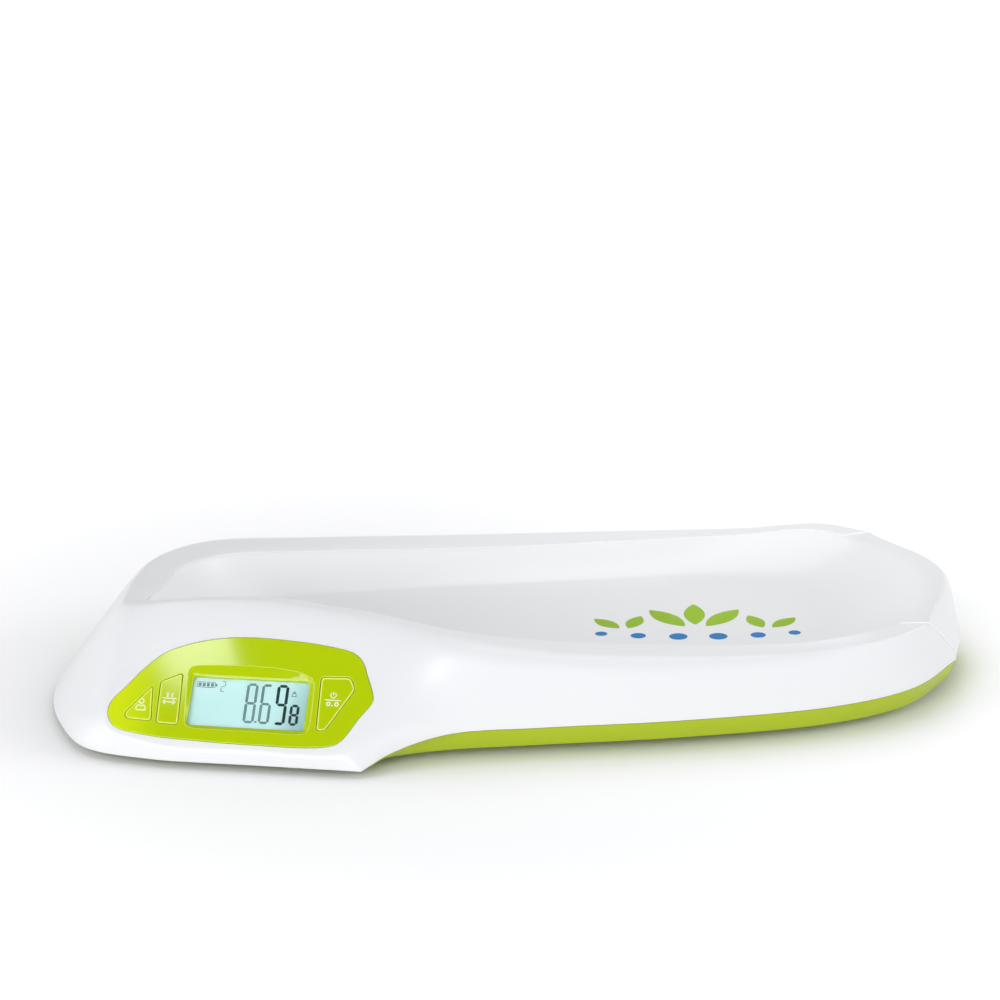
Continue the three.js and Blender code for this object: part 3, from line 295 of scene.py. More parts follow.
def rounded(points, corner, steps=8):
    """Closed outline with its corners rounded by quadratic curves that reach a distance along each side."""
    points = counterclockwise(points)
    made = []
    for i, point in enumerate(points):
        sides = [points[i - 1] - point, points[(i + 1) % len(points)] - point]
        start, end = (point + side * min(corner, size / 2) / size
                      for side, size in ((side, np.linalg.norm(side)) for side in sides))
        made.extend(bezier(start, point, end, np.linspace(0, 1, steps + 1)))
    return unrepeated(made)


def unrepeated(points, least=0.02):
    kept = []
    for point in points:
        if not kept or np.linalg.norm(point - kept[-1]) > least:
            kept.append(np.asarray(point))
    while np.linalg.norm(kept[-1] - kept[0]) < least:
        kept.pop()
    return np.array(kept)


def smooth_loop(points, steps=8):
    curve = catmull(points, True)
    return np.array([curve(i / steps) for i in range(len(points) * steps)])


def box_outline(length, width, corner, x=0.0, y=0.0, steps=6):
    """Rounded rectangle with the same count of points whatever its size."""
    quarters = [arc(corner, -90 + 90 * turn, 90 * turn, x + sx * (length / 2 - corner),
                    y + sy * (width / 2 - corner), steps)
                for turn, (sx, sy) in enumerate(((1, -1), (1, 1), (-1, 1), (-1, -1)))]
    return np.vstack(quarters)


def arc(radius, start, end, x=0.0, y=0.0, steps=24):
    angle = np.radians(np.linspace(start, end, steps + 1))
    return np.column_stack([x + radius * np.cos(angle), y + radius * np.sin(angle)])


def circle(radius, x=0.0, y=0.0, sides=64):
    return arc(radius, 0, 360, x, y, sides)[:-1]


def turned(points, angle):
    cos, sin = math.cos(angle), math.sin(angle)
    return np.asarray(points) @ np.array([[cos, sin], [-sin, cos]])


def at_height(outline, z):
    return np.column_stack([outline, np.full(len(outline), z)])


# Mesh helpers
def soften(mesh, smooth_angle):
    """Smooth faces, with sharp edges above an angle and wherever an edge was marked before."""
    marked = [edge.use_edge_sharp for edge in mesh.edges]
    mesh.polygons.foreach_set("use_smooth", [True] * len(mesh.polygons))
    mesh.set_sharp_from_angle(angle=math.radians(smooth_angle))
    for edge, sharp in zip(mesh.edges, marked):
        if sharp:
            edge.use_edge_sharp = True


def new_object(name, bm, smooth_angle=35, matrix=None):
    """Object from a bmesh in millimetres, scaled to metres, with its edges sharp above an angle."""
    bmesh.ops.scale(bm, vec=(MM, MM, MM), verts=bm.verts)
    if matrix is not None:
        bmesh.ops.transform(bm, matrix=matrix, verts=bm.verts)
    mesh = bpy.data.meshes.new(name)
    bm.to_mesh(mesh)
    bm.free()
    soften(mesh, smooth_angle)
    thing = bpy.data.objects.new(name, mesh)
    bpy.context.scene.collection.objects.link(thing)
    return thing


def dress(thing, body, slot, *materials):
    """Gives an object its materials, and the body that it belongs to; the slot is not used."""
    for material in materials:
        thing.data.materials.append(material)
    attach(thing, body)


def ring(bm, points):
    return [bm.verts.new(tuple(p)) for p in points]


def flat_ring(bm, outline, z):
    return ring(bm, at_height(outline, z))


def bridge(bm, low, high, index=0):
    """Side faces between two closed rings of the same count; the first ring is the lower one."""
    for i in range(len(low)):
        j = (i + 1) % len(low)
        bm.faces.new((low[i], low[j], high[j], high[i])).material_index = index


def skin(bm, rings, flip=False, index=0, marked=()):
    """Side faces between each ring and the next; the marked steps take the second material."""
    for k, (low, high) in enumerate(zip(rings, rings[1:])):
        pair = (high, low) if flip else (low, high)
        bridge(bm, *pair, 1 if k in marked else index)


def fill(bm, rings, up=True):
    """Flat filling between closed rings: the first is the outline, and the others are holes."""
    edges = []
    for loop in rings:
        for i, vert in enumerate(loop):
            edge = bm.edges.get((vert, loop[(i + 1) % len(loop)]))
            edge.smooth = False
            edges.append(edge)
    made = bmesh.ops.triangle_fill(bm, use_beauty=True, use_dissolve=False, edges=edges)
    for face in made["geom"]:
        if isinstance(face, bmesh.types.BMFace):
            face.normal_update()
            if (face.normal.z > 0) != up:
                face.normal_flip()


def fillet(top, radius, steps=4):
    """(inward distance, height) pairs round an outer top edge."""
    return [(radius * (1 - math.cos(a)), top - radius * (1 - math.sin(a)))
            for a in np.linspace(0, math.pi / 2, steps + 1)]


def stack(bm, outline, profile, flip=False, index=0, marked=()):
    """Rings of an outline for (inward distance, height) pairs, skinned in turn; returns the rings."""
    rings = [flat_ring(bm, offset(outline, -inward) if inward else outline, z) for inward, z in profile]
    skin(bm, rings, flip, index, marked)
    return rings


def recess(bm, mouth, deep, z, depth):
    """Blind hole up into a lower face; returns the ring of its mouth."""
    rim, end = flat_ring(bm, mouth, z), flat_ring(bm, deep, z + depth)
    bridge(bm, end, rim)
    fill(bm, [end], False)
    return rim


def lathe(bm, profile, x=0.0, y=0.0, sides=64):
    """Closed turned body from (radius, height) pairs, from the bottom's middle to the top's middle."""
    rings = [flat_ring(bm, circle(radius, x, y, sides), z) if radius else [bm.verts.new((x, y, z))]
             for radius, z in profile]
    for low, high in zip(rings, rings[1:]):
        for i in range(sides):
            j = (i + 1) % sides
            corners = low if len(low) == 1 else [low[i], low[j]]
            bm.faces.new(corners + (high if len(high) == 1 else [high[j], high[i]]))


def recalculated(bm):
    bmesh.ops.recalc_face_normals(bm, faces=bm.faces)
    return bm


# Materials
def nodes_of(owner):
    owner.use_nodes = True
    return owner.node_tree


def feed(tree, node, values):
    """Gives each input its value, or its link where the value is a node (its first output) or an output."""
    for name, value in values.items():
        if isinstance(value, bpy.types.Node):
            value = value.outputs[0]
        if isinstance(value, bpy.types.NodeSocket):
            tree.links.new(value, node.inputs[name])
        else:
            node.inputs[name].default_value = value


def add(tree, kind, values=None, **settings):
    """New shader node with its settings and inputs."""
    node = tree.nodes.new("ShaderNode" + kind)
    for name, value in settings.items():
        setattr(node, name, value)
    feed(tree, node, values or {})
    return node


def fade(tree, value, start, end, low=0.0, high=1.0, kind="LINEAR"):
    """Low to high while a value goes from start to end."""
    ends = {"From Min": start, "From Max": end, "To Min": low, "To Max": high}
    return add(tree, "MapRange", {"Value": value, **ends}, interpolation_type=kind)


def plastic(name, color, roughness=0.3, metallic=0.0, grain=0.0, grain_scale=400.0, tint=0.03,
            tint_scale=12.0, ior=1.5):
    """Moulded or metal surface: slow colour drift, and a fine grain in bump and roughness."""
    material = bpy.data.materials.new(name)
    tree = nodes_of(material)
    spots = add(tree, "TexCoord").outputs["Object"]
    drift = add(tree, "TexNoise", {"Scale": tint_scale, "Detail": 2, "Vector": spots})
    colors = add(tree, "ValToRGB", {"Fac": drift})
    for stop, position, change in zip(colors.color_ramp.elements, (0.3, 0.7), (1 - tint, 1 + tint)):
        stop.position = position
        stop.color = (*[min(1, c * change) for c in color], 1)
    fine = add(tree, "TexNoise", {"Scale": grain_scale, "Detail": 3, "Vector": spots})
    rough = fade(tree, fine, 0, 1, roughness * 0.9, min(1.0, roughness * 1.1))
    shader = {"Metallic": metallic, "IOR": ior, "Base Color": colors, "Roughness": rough}
    if grain:
        shader["Normal"] = add(tree, "Bump", {"Strength": grain, "Distance": 0.0002, "Height": fine})
    feed(tree, tree.nodes["Principled BSDF"], shader)
    return material


GLOSSY_WHITE = plastic("glossy_white_plastic", (0.865, 0.87, 0.885), grain=0.02, tint=0.006, tint_scale=5)
# Whiter than the shell: painted highlight on the seam beads.
BEAD_HIGHLIGHT_WHITE = plastic("bead_painted_highlight_white", (0.93, 0.935, 0.94), tint=0.005)
DECK_WHITE = plastic("deck_white_plastic", (0.84, 0.845, 0.855), grain=0.03, tint=0.008, tint_scale=6)
LIME = plastic("lime_plastic", (0.48, 0.635, 0.0018), 0.045, tint=0.015, tint_scale=9)
# Paler lime for the key beads and the display recess's rim: painted highlight.
LIME_HIGHLIGHT = plastic("lime_painted_highlight", (0.78, 0.88, 0.13), 0.2, tint=0.02)
BASE_LIME = plastic("base_lime_plastic", (0.46, 0.575, 0.0095), grain=0.012, tint=0.02, tint_scale=8)
GREY = plastic("grey_plastic", (0.55, 0.57, 0.59), 0.5, grain=0.3, grain_scale=900)
RUBBER = plastic("grey_rubber", (0.26, 0.28, 0.3), 0.82, 0.0, 0.6, 1400, 0.06, 60)
BLACK = plastic("black_plastic", (0.02, 0.02, 0.022), 0.45, grain=0.3, grain_scale=1200)
STEEL = plastic("zinc_steel", (0.62, 0.63, 0.66), 0.32, 1.0, 0.15, 1500, 0.08, 90)
NICKEL = plastic("nickel_strip", (0.68, 0.65, 0.6), 0.26, 1.0, 0.1, 1500, 0.05, 80)
BOARD = plastic("board_lacquer", (0.01, 0.16, 0.06), 0.4, 0.0, 0.25, 700, 0.25, 160)
GUIDE = plastic("light_guide", (0.86, 0.92, 0.93), 0.35)
JACKET = plastic("cell_jacket", (0.03, 0.16, 0.42), grain=0.05, tint=0.08, tint_scale=70)
PRINT_WHITE = plastic("print_white", (0.93, 0.95, 0.66), 0.35, tint=0.01)
PRINT_GREEN = plastic("print_green", (0.29, 0.49, 0.006), 0.4, tint=0.12, tint_scale=14, ior=1.22)
PRINT_BLUE = plastic("print_blue", (0.004, 0.19, 0.50), 0.4, tint=0.15, tint_scale=16, ior=1.22)
SEGMENT = plastic("lcd_segment", (0.02, 0.055, 0.06), 0.5, tint=0.2, tint_scale=60)
SEGMENT_PALE = plastic("lcd_segment_pale", (0.26, 0.38, 0.38), 0.5, tint=0.12, tint_scale=60)
SEGMENT_MARK = plastic("lcd_segment_mark", (0.13, 0.22, 0.23), 0.5, tint=0.1, tint_scale=60)


def lens_material():
    material = bpy.data.materials.new("clear_window")
    tree = nodes_of(material)
    tree.nodes.remove(tree.nodes["Principled BSDF"])
    mix = add(tree, "MixShader", {
        "Fac": add(tree, "Fresnel", {"IOR": 1.3}),
        1: add(tree, "BsdfTransparent", {"Color": (0.97, 0.99, 0.99, 1)}),
        2: add(tree, "BsdfGlossy", {"Roughness": 0.03}),
    })
    feed(tree, tree.nodes["Material Output"], {"Surface": mix})
    return material


def along_panel(tree, direction, start, end, kind):
    """0 to 1 between two distances from the panel's middle in a direction of its plane."""
    spots = add(tree, "TexCoord").outputs["Object"]
    along = add(tree, "VectorMath", {0: spots, 1: direction}, operation="DOT_PRODUCT").outputs["Value"]
    middle = direction.dot(PANEL.translation)
    return fade(tree, along, middle + start * MM, middle + end * MM, kind=kind)


def lcd_material():
    """Pale cyan reflector with painted shade, darker towards its right end and lower corner, and a faint
    painted glow in the same colours.
    """
    material = bpy.data.materials.new("display_cyan")
    tree = nodes_of(material)
    half = LCD_LENGTH / 2
    slope = Vector(PANEL.col[0][:3]) - 0.35 * Vector(PANEL.col[1][:3])
    colors = add(tree, "ValToRGB", {"Fac": along_panel(tree, slope, -half, half * 1.15, "LINEAR")})
    colors.color_ramp.interpolation = "EASE"
    stops = colors.color_ramp.elements
    stops[0].color = (0.64, 0.90, 0.88, 1)
    stops[1].color = (0.40, 0.61, 0.62, 1)
    stops.new(0.62).color = (0.69, 0.96, 0.94, 1)
    # The ramp's colours are painted shade, and they also feed the emission as a painted glow, though the
    # display is no lamp.
    feed(tree, tree.nodes["Principled BSDF"], {
        "Roughness": 0.35, "Base Color": colors, "Emission Color": colors, "Emission Strength": 0.25,
    })
    return material


def paint_end_highlight(material, color, start, end):
    """Painted highlight: a paler colour towards the panel's narrow end, between two places along its length.
    """
    tree = material.node_tree
    shader = tree.nodes["Principled BSDF"]
    share = along_panel(tree, Vector(PANEL.col[0][:3]), start, end, "SMOOTHSTEP")
    body = shader.inputs["Base Color"].links[0].from_socket
    mix = add(tree, "Mix", {"A": (*color, 1), "B": body, "Factor": share}, data_type="RGBA")
    feed(tree, shader, {"Base Color": mix.outputs["Result"]})


# Painted highlight: paler lime towards the panel's narrow end.
paint_end_highlight(LIME, (0.66, 0.80, 0.008), -84, -48)

# Nodes of the frame that show as they are, by the start of their names
FRAME_LOOKS = {
    "display_window": lens_material(), "lcd_cell": lcd_material(), "lcd_light_guide": GUIDE,
    "lcd_carrier": GREY, "main_board": BOARD, "buzzer": BLACK, "contact_strip": NICKEL,
    "switch_plunger": GREY, "switch": BLACK, "load_cell": STEEL, "cell_seat": GREY,
}
for name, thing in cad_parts.items():
    for start, material in FRAME_LOOKS.items():
        if name.startswith(start):
            thing.data.materials.clear()
            thing.data.materials.append(material)
            break

# Upper mouldings
PER_SECTION = 16
LIP_STEPS, FACE_STEPS, SHOULDER_STEPS, RAIL_STEPS, WALL_STEPS, FLOOR_STEPS = 10, 12, 14, 8, 22, 10
RIM_FILLET = 0.35
TAPER = 1 / 3                 # sections over which the rail narrows to nothing at the foot end's corners
SECTION_RUN = 55              # millimetres round the edge for one section there
SPACING = GAP / 2 / SECTION_RUN
POCKET_REACH = 12             # to each side of the panel's plane
SKIRT_MERGE = 0.25
BEAD_STEPS, BEAD_RADIUS, BEAD_SINK, BEAD_SHIFT = 13, 0.75, 0.15, 0.2
# Sections, counted up and down, over which the evening of the pod's face sets in
POD_BEGINS, POD_ENDS = (6.5, 8), (-18.5, -17)


def eased(count):
    return np.linspace(0, 1, count + 1)


def outer_wall(guides):
    edge, lip, low, high, shoulder, crest = guides[:6]
    return np.vstack([
        bezier(edge, lip, low, eased(LIP_STEPS)),
        straight(low, high, eased(FACE_STEPS)[1:]),
        bezier(high, shoulder, crest, eased(SHOULDER_STEPS)[1:]),
    ])


def rail(guides, start, end):
    crest, seam = guides[5:7]
    top = crest + (seam - crest) * RAIL_TOP
    top[2] = crest[2]
    return bezier(crest, top, seam, np.linspace(start, end, RAIL_STEPS + 1))


def inner_floor(guides):
    seam, floor = guides[6:8]
    inner = seam + (floor - seam) * INNER_WALL
    inner[2] = floor[2]
    wall = bezier(seam, inner, floor, eased(WALL_STEPS))
    return np.vstack([wall, straight(floor, FLOOR_CENTRE, eased(FLOOR_STEPS)[1:-1])])


def from_corner(index, guides):
    """How far along its taper the rail is, and the share of its width that half a gap takes."""
    reach = min(1, (index - FAR_CORNER) / TAPER, (NEAR_CORNER - index) / TAPER)
    return reach, GAP / 2 / np.linalg.norm(guides[6] - guides[5])


def grid(bm, rows, closed=False):
    """Quads between columns of points of the same count; returns the columns' vertices."""
    columns = [ring(bm, column) for column in rows]
    for i in range(len(columns) if closed else len(columns) - 1):
        here, there = columns[i], columns[(i + 1) % len(columns)]
        for k in range(len(here) - 1):
            bm.faces.new((here[k], here[k + 1], there[k + 1], there[k]))
    return columns


def rim_loops(bm):
    """Ordered vertices of each open rim."""
    links = {}
    for edge in bm.edges:
        if edge.is_boundary:
            for vert in edge.verts:
                links.setdefault(vert, []).append(edge.other_vert(vert))
    loops = []
    while links:
        start = next(iter(links))
        loop, last = [start], None
        while True:
            step = [v for v in links[loop[-1]] if v is not last][0]
            if step is start:
                break
            last = loop[-1]
            loop.append(step)
        for vert in loop:
            links.pop(vert)
        loops.append(loop)
    return loops


def inner_wall(bm, depth, level):
    """New vertices behind an open surface, never nearer to it than a share of the wall's depth."""
    tree = BVHTree.FromBMesh(bm)
    least = 0.6 * depth
    inner = {}
    for vert in list(bm.verts):
        normal = vert.normal.copy()
        if vert in level:
            normal.z = 0
            normal.normalize()
        spot_in = vert.co - normal * depth
        if vert not in level:
            for _ in range(3):
                nearest, facing = tree.find_nearest(spot_in)[:2]
                if (spot_in - nearest).dot(facing) <= -least * 0.98:
                    break
                spot_in = nearest - facing * least
        inner[vert] = bm.verts.new(spot_in)
    return inner


def rim_step(vert, before, here, after, walls):
    """Way and size of a rim's rounding at one vertex, into the surface and away from the rim."""
    back = (after - before).normalized().cross(vert.normal).normalized()
    inside = [edge.other_vert(vert) for edge in vert.link_edges if not edge.is_boundary]
    inside = [v for v in inside if v not in walls]
    reach, target = RIM_FILLET, vert.link_faces[0].calc_center_median()
    if inside:
        reach, target = min((v.co - here).length for v in inside), inside[0].co
    if back.dot(target - here) < 0:
        back = -back
    return back, min(RIM_FILLET, reach * 0.4)


def thickened(bm, name, depth, level):
    """Wall behind an open surface, its rims rounded; the wall of the level verts goes straight inwards."""
    recalculated(bm)
    if max(bm.faces, key=lambda face: face.calc_center_median().z).normal.z < 0:
        bmesh.ops.reverse_faces(bm, faces=bm.faces)
    bm.normal_update()
    outer_faces = list(bm.faces)
    inner = inner_wall(bm, depth, level)
    walls = set(inner.values())
    loops = rim_loops(bm)
    for face in outer_faces:
        bm.faces.new([inner[v] for v in reversed(face.verts)])
    for loop in loops:
        places = [vert.co.copy() for vert in loop]
        moves, rows = [], []
        for i, vert in enumerate(loop):
            here = places[i]
            back, radius = rim_step(vert, places[i - 1], here, places[(i + 1) % len(loop)], walls)
            move = back * radius
            moves.append(move)
            rows.append([here + move * (1 - math.sin(turn)) - vert.normal * radius * (1 - math.cos(turn))
                         for turn in np.radians((30, 60, 90))])
        rings = [loop] + [[bm.verts.new(row[k]) for row in rows] for k in range(3)]
        for vert, move in zip(loop, moves):
            vert.co += move
        skin(bm, rings + [[inner[v] for v in loop]])
    return new_object(name, recalculated(bm))


def cut(thing, cutter, smooth_angle=35):
    boolean = thing.modifiers.new("cut", "BOOLEAN")
    boolean.operation = "DIFFERENCE"
    boolean.solver = "EXACT"
    boolean.object = cutter
    graph = bpy.context.evaluated_depsgraph_get()
    mesh = bpy.data.meshes.new_from_object(thing.evaluated_get(graph))
    thing.modifiers.clear()
    thing.data = mesh
    soften(mesh, smooth_angle)
    bpy.data.objects.remove(cutter)


def prism(name, outline, low, high, matrix=None):
    bm = bmesh.new()
    rings = stack(bm, outline, [(0, low), (0, high)])
    bm.faces.new(rings[0][::-1])
    bm.faces.new(rings[1])
    return new_object(name, bm, matrix=matrix)


PANEL_LOOP = smooth_loop(on_panel(PANEL_OUTLINE))


def blurred(values, spread):
    """Weighted mean along the first axis; the ends are carried on in their own direction."""
    reach = int(3 * spread)
    shares = np.exp(-0.5 * (np.arange(-reach, reach + 1) / spread) ** 2)
    shares /= shares.sum()
    head = 2 * values[0] - values[reach:0:-1]
    tail = 2 * values[-1] - values[-2:-reach - 2:-1]
    padded = np.concatenate([head, values, tail])
    return sum(share * padded[k:k + len(values)] for k, share in enumerate(shares))


def evened(values, spread):
    """Rounds kinks off, while slow curves keep their place."""
    once = blurred(values, spread)
    return 2 * once - blurred(once, spread)


def ramp(values, start, end):
    part = np.clip((np.asarray(values, float) - start) / (end - start), 0, 1)
    return part * part * (3 - 2 * part)


def from_panel(points):
    """Distance of each point from the prism over the panel's outline, 2 mm to each side of its plane."""
    local = np.array(PANEL.inverted()) @ np.column_stack([points * MM, np.ones(len(points))]).T
    flat, height = local[:2].T / MM, local[2] / MM
    sides = np.roll(PANEL_LOOP, -1, axis=0) - PANEL_LOOP
    away = flat[:, None] - PANEL_LOOP[None]
    part = np.clip(np.sum(away * sides, axis=2) / np.sum(sides * sides, axis=1), 0, 1)
    least = np.linalg.norm(away - part[..., None] * sides, axis=2).min(axis=1)
    y0, y1 = PANEL_LOOP[:, 1], np.roll(PANEL_LOOP[:, 1], -1)
    x0, slope = PANEL_LOOP[:, 0], sides[:, 0] / np.where(sides[:, 1] == 0, 1e-9, sides[:, 1])
    crossed = ((y0 > flat[:, 1:]) != (y1 > flat[:, 1:])) & (flat[:, :1] < x0 + (flat[:, 1:] - y0) * slope)
    inside = crossed.sum(axis=1) % 2 == 1
    return np.hypot(np.where(inside, 0, least), np.maximum(0, np.abs(height) - 2))


def pod_evened(rows, indices):
    """Rounds off the flat pod face's ends, but keeps the plane round the panel and both rims of the wall."""
    cells = np.array(rows)
    count = cells.shape[1]
    down = ramp(np.arange(count), 0, 6) * ramp(-np.arange(count), 1 - count, 5 - count)
    away = from_panel(cells.reshape(-1, 3)).reshape(cells.shape[:2])

    def eased_by(soft, along, clear):
        share = along[:, None] * down[None] * clear
        return cells + share[..., None] * (soft - cells)

    near = ramp(indices, *POD_BEGINS) * ramp(-indices, *POD_ENDS)
    cells = eased_by(evened(cells, 6), near, ramp(away, 1.5, 9))
    for middle, reach in ((FIRST_POD, 1.6), (LAST_POD, 1.2)):
        along = ramp(-np.abs(indices - middle), -reach, -reach / 3)
        cells = eased_by(blurred(cells, 7), along, ramp(away, 0.5, 10))
    across = blurred(cells.transpose(1, 0, 2), 2).transpose(1, 0, 2)
    return eased_by(across, near, ramp(away, 1, 8))


def in_box(points):
    """Keeps a smooth surface inside the box of the faceted solids."""
    low, high = (np.array(corner) / MM for corner in CAD_BOX)
    return np.clip(np.array(points), low, high)


def make_upper_shell():
    """White moulding from one corner of the foot end round the head end to the other."""
    steps = (NEAR_CORNER - FAR_CORNER) * PER_SECTION + 1
    indices = np.linspace(FAR_CORNER + SPACING, NEAR_CORNER - SPACING, steps)
    rows = []
    for index in indices:
        guides = guides_at(index)
        reach, half_gap = from_corner(index, guides)
        rows.append(np.vstack([outer_wall(guides), rail(guides, 0, max(0.02, reach - half_gap))[1:]]))
    bm = bmesh.new()
    columns = grid(bm, in_box(pod_evened(rows, indices)))
    thing = thickened(bm, "shell_moulding", WALL, {column[0] for column in columns})
    cut(thing, prism("pocket", offset(PANEL_LOOP, GAP), -POCKET_REACH, POCKET_REACH, PANEL))
    dress(thing, "housing", "glossy_white", GLOSSY_WHITE)
    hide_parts("upper_shell")


def make_deck():
    """White tray floor with the rail's inner part, and the foot end's outer wall as a skirt."""
    drop = np.array([0, 0, DECK_DROP])
    rows = []
    for index in np.arange(0, SECTION_COUNT, 1 / PER_SECTION):
        guides = guides_at(index)
        reach, half_gap = from_corner(index, guides)
        start = min(1.0, reach + half_gap) if reach > 0 else 0.0
        rows.append(np.vstack([rail(guides, start, 1), inner_floor(guides)[1:]]) - drop)
    bm = bmesh.new()
    columns = grid(bm, in_box(rows), True)
    tip = bm.verts.new(tuple(FLOOR_CENTRE - drop))
    for here, there in zip(columns, columns[1:] + columns[:1]):
        bm.faces.new((here[-1], tip, there[-1]))
    skirts = []
    for index in np.linspace(-FAR_CORNER + SPACING, FAR_CORNER - SPACING, 2 * PER_SECTION + 1):
        wall = outer_wall(guides_at(index % SECTION_COUNT))
        skirts.append(wall - np.minimum(1, np.arange(len(wall)) / 3)[:, None] * drop)
    columns = grid(bm, skirts)
    bmesh.ops.remove_doubles(bm, verts=bm.verts, dist=SKIRT_MERGE)
    thing = thickened(bm, "deck_moulding", WALL, {column[0] for column in columns if column[0].is_valid})
    dress(thing, "housing", "deck_white", DECK_WHITE)
    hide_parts("tray_deck")
    return thing


def tube(bm, points, radius, sides=10):
    """Thin round bead along a path."""
    along = unit(np.gradient(points, axis=0))
    side = unit(np.cross(along, (0.3, 0.2, 1.0)))
    other = np.cross(along, side)
    spokes = circle(1, sides=sides)
    rings = [ring(bm, point + radius * (np.outer(spokes[:, 0], a) + np.outer(spokes[:, 1], b)))
             for point, a, b in zip(points, side, other)]
    skin(bm, rings)
    bm.faces.new(rings[0][::-1])
    bm.faces.new(rings[-1])


def make_seam_beads():
    """Bright bead along the joint between the tray's foot end and each side moulding: a raised edge, painted
    whiter than the shell as a highlight.
    """
    for name, corner, way in (("near", NEAR_CORNER, -1), ("far", FAR_CORNER, 1)):
        path = [rail(guides_at(corner + way * share * TAPER), share, share)[0]
                for share in np.linspace(1, 0, BEAD_STEPS)]
        path.extend(outer_wall(guides_at(corner))[-2:2:-1])
        path = blurred(np.array(path), 0.8)
        path[:, 2] -= BEAD_SINK
        path[:, 0] -= BEAD_SHIFT * ramp(np.arange(len(path)), 12, 22)
        bm = bmesh.new()
        tube(bm, path, BEAD_RADIUS)
        dress(new_object(f"seam_bead_{name}", recalculated(bm), 60), "housing", "glossy_white", BEAD_HIGHLIGHT_WHITE)


make_upper_shell()
DECK = make_deck()
make_seam_beads()

# Control panel
# Rim of the display's recess at the plate's face, and the edge of the display's window below it
RECESS = [
    [-38.2, -16.2], [-34.6, -18.2], [-20.0, -18.7], [10.0, -18.8], [33.0, -19.2], [37.8, -18.2],
    [39.9, -14.2], [40.2, -2.8], [39.9, 10.0], [39.4, 16.2], [37.6, 19.9], [33.8, 21.9],
    [27.0, 23.6], [16.3, 25.1], [0.0, 25.8], [-19.2, 25.2], [-34.5, 24.3], [-38.6, 23.2],
    [-40.6, 20.0], [-40.9, 14.0], [-40.3, 4.0], [-39.6, -6.0], [-39.0, -12.6],
]
WINDOW_RIM = box_outline(74.2, 34.0, 2.4, -0.7, 0.95, 8)
RIM_DEPTH = -1.6
PLATE_EDGE = 0.55


def slot_outline(name, growth):
    points = offset(counterclockwise(on_panel(KEY_OUTLINES[name])), growth)
    return rounded(points, KEY_CORNER + growth, 10)


def dense(outline, step):
    """Closed outline with points added wherever two are further apart than a step."""
    made = []
    for start, end in zip(outline, np.roll(outline, -1, axis=0)):
        count = max(1, math.ceil(np.linalg.norm(end - start) / step))
        made.extend(start + (end - start) * k / count for k in range(count))
    return np.array(made)


def crossed(a, b):
    return a[0] * b[1] - a[1] * b[0]


def projected(outline, target):
    """Each point of an outline, moved on its line from the middle to the target outline."""
    middle = outline.mean(axis=0)
    found = []
    for way in outline - middle:
        for start, end in zip(target, np.roll(target, -1, axis=0)):
            side, gap = end - start, start - middle
            turn = crossed(way, side)
            if abs(turn) < 1e-9:
                continue
            reach, along = crossed(gap, side) / turn, crossed(gap, way) / turn
            if reach > 0 and -1e-9 <= along <= 1 + 1e-9:
                best = reach
        found.append(middle + way * best)
    return np.array(found)


def make_fascia():
    """Plate with a rounded edge, the display's recess with a painted highlight on its rim, and a slot for
    each key.
    """
    top = FASCIA_PROUD
    bm = bmesh.new()
    side = [(0, -FASCIA_DEPTH), (0, top - PLATE_EDGE)]
    outer = stack(bm, PANEL_LOOP, side + fillet(top, PLATE_EDGE)[1:])
    rim = dense(WINDOW_RIM, 1.5)
    mouth = projected(rim, smooth_loop(RECESS, 6))
    skirt = projected(rim, box_outline(LCD_LENGTH + 4, LCD_HEIGHT + 4, 2.6, 0, 0, 8))
    levels = [(offset(mouth, 0.5), top), (offset(mouth, 0.3), top - 0.04),
              (offset(mouth, 0.12), top - 0.15), (mouth, top - 0.32)]
    levels += [(mouth + (rim - mouth) * t, top - 0.32 + (RIM_DEPTH + 0.5 - top) * t)
               for t in (0.25, 0.5, 0.75, 0.93)]
    levels += [(rim, RIM_DEPTH), (offset(rim, -0.05), RIM_DEPTH - 0.3), (rim, WINDOW_FOOT),
               (skirt, WINDOW_FOOT), (skirt, -FASCIA_DEPTH)]
    window = [flat_ring(bm, outline, z) for outline, z in levels]
    # The two outer steps of the recess's rim take the painted highlight.
    skin(bm, window, marked=(0, 1))
    tops, feet = [outer[-1], window[0]], [outer[0], window[-1]]
    wall = [(0, -FASCIA_DEPTH), (0, top - 0.4), (-0.05, top - 0.2), (-0.18, top - 0.06), (-0.4, top)]
    for name in KEY_OUTLINES:
        rings = stack(bm, slot_outline(name, KEY_SLOT), wall, marked=(3,))
        tops.append(rings[-1])
        feet.append(rings[0])
    fill(bm, tops, True)
    fill(bm, feet, False)
    # The painted highlight is left off the recess's upper edge, which faces away from the light.
    for face in bm.faces:
        x, y = face.calc_center_median()[:2]
        if abs(x) < 42 and y > 17.5:  # the recess's upper edge shows no pale rim
            face.material_index = 0
    thing = new_object("panel_plate", bm, 40, PANEL)
    dress(thing, "housing", "panel_green", LIME, LIME_HIGHLIGHT)
    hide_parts("panel_fascia")


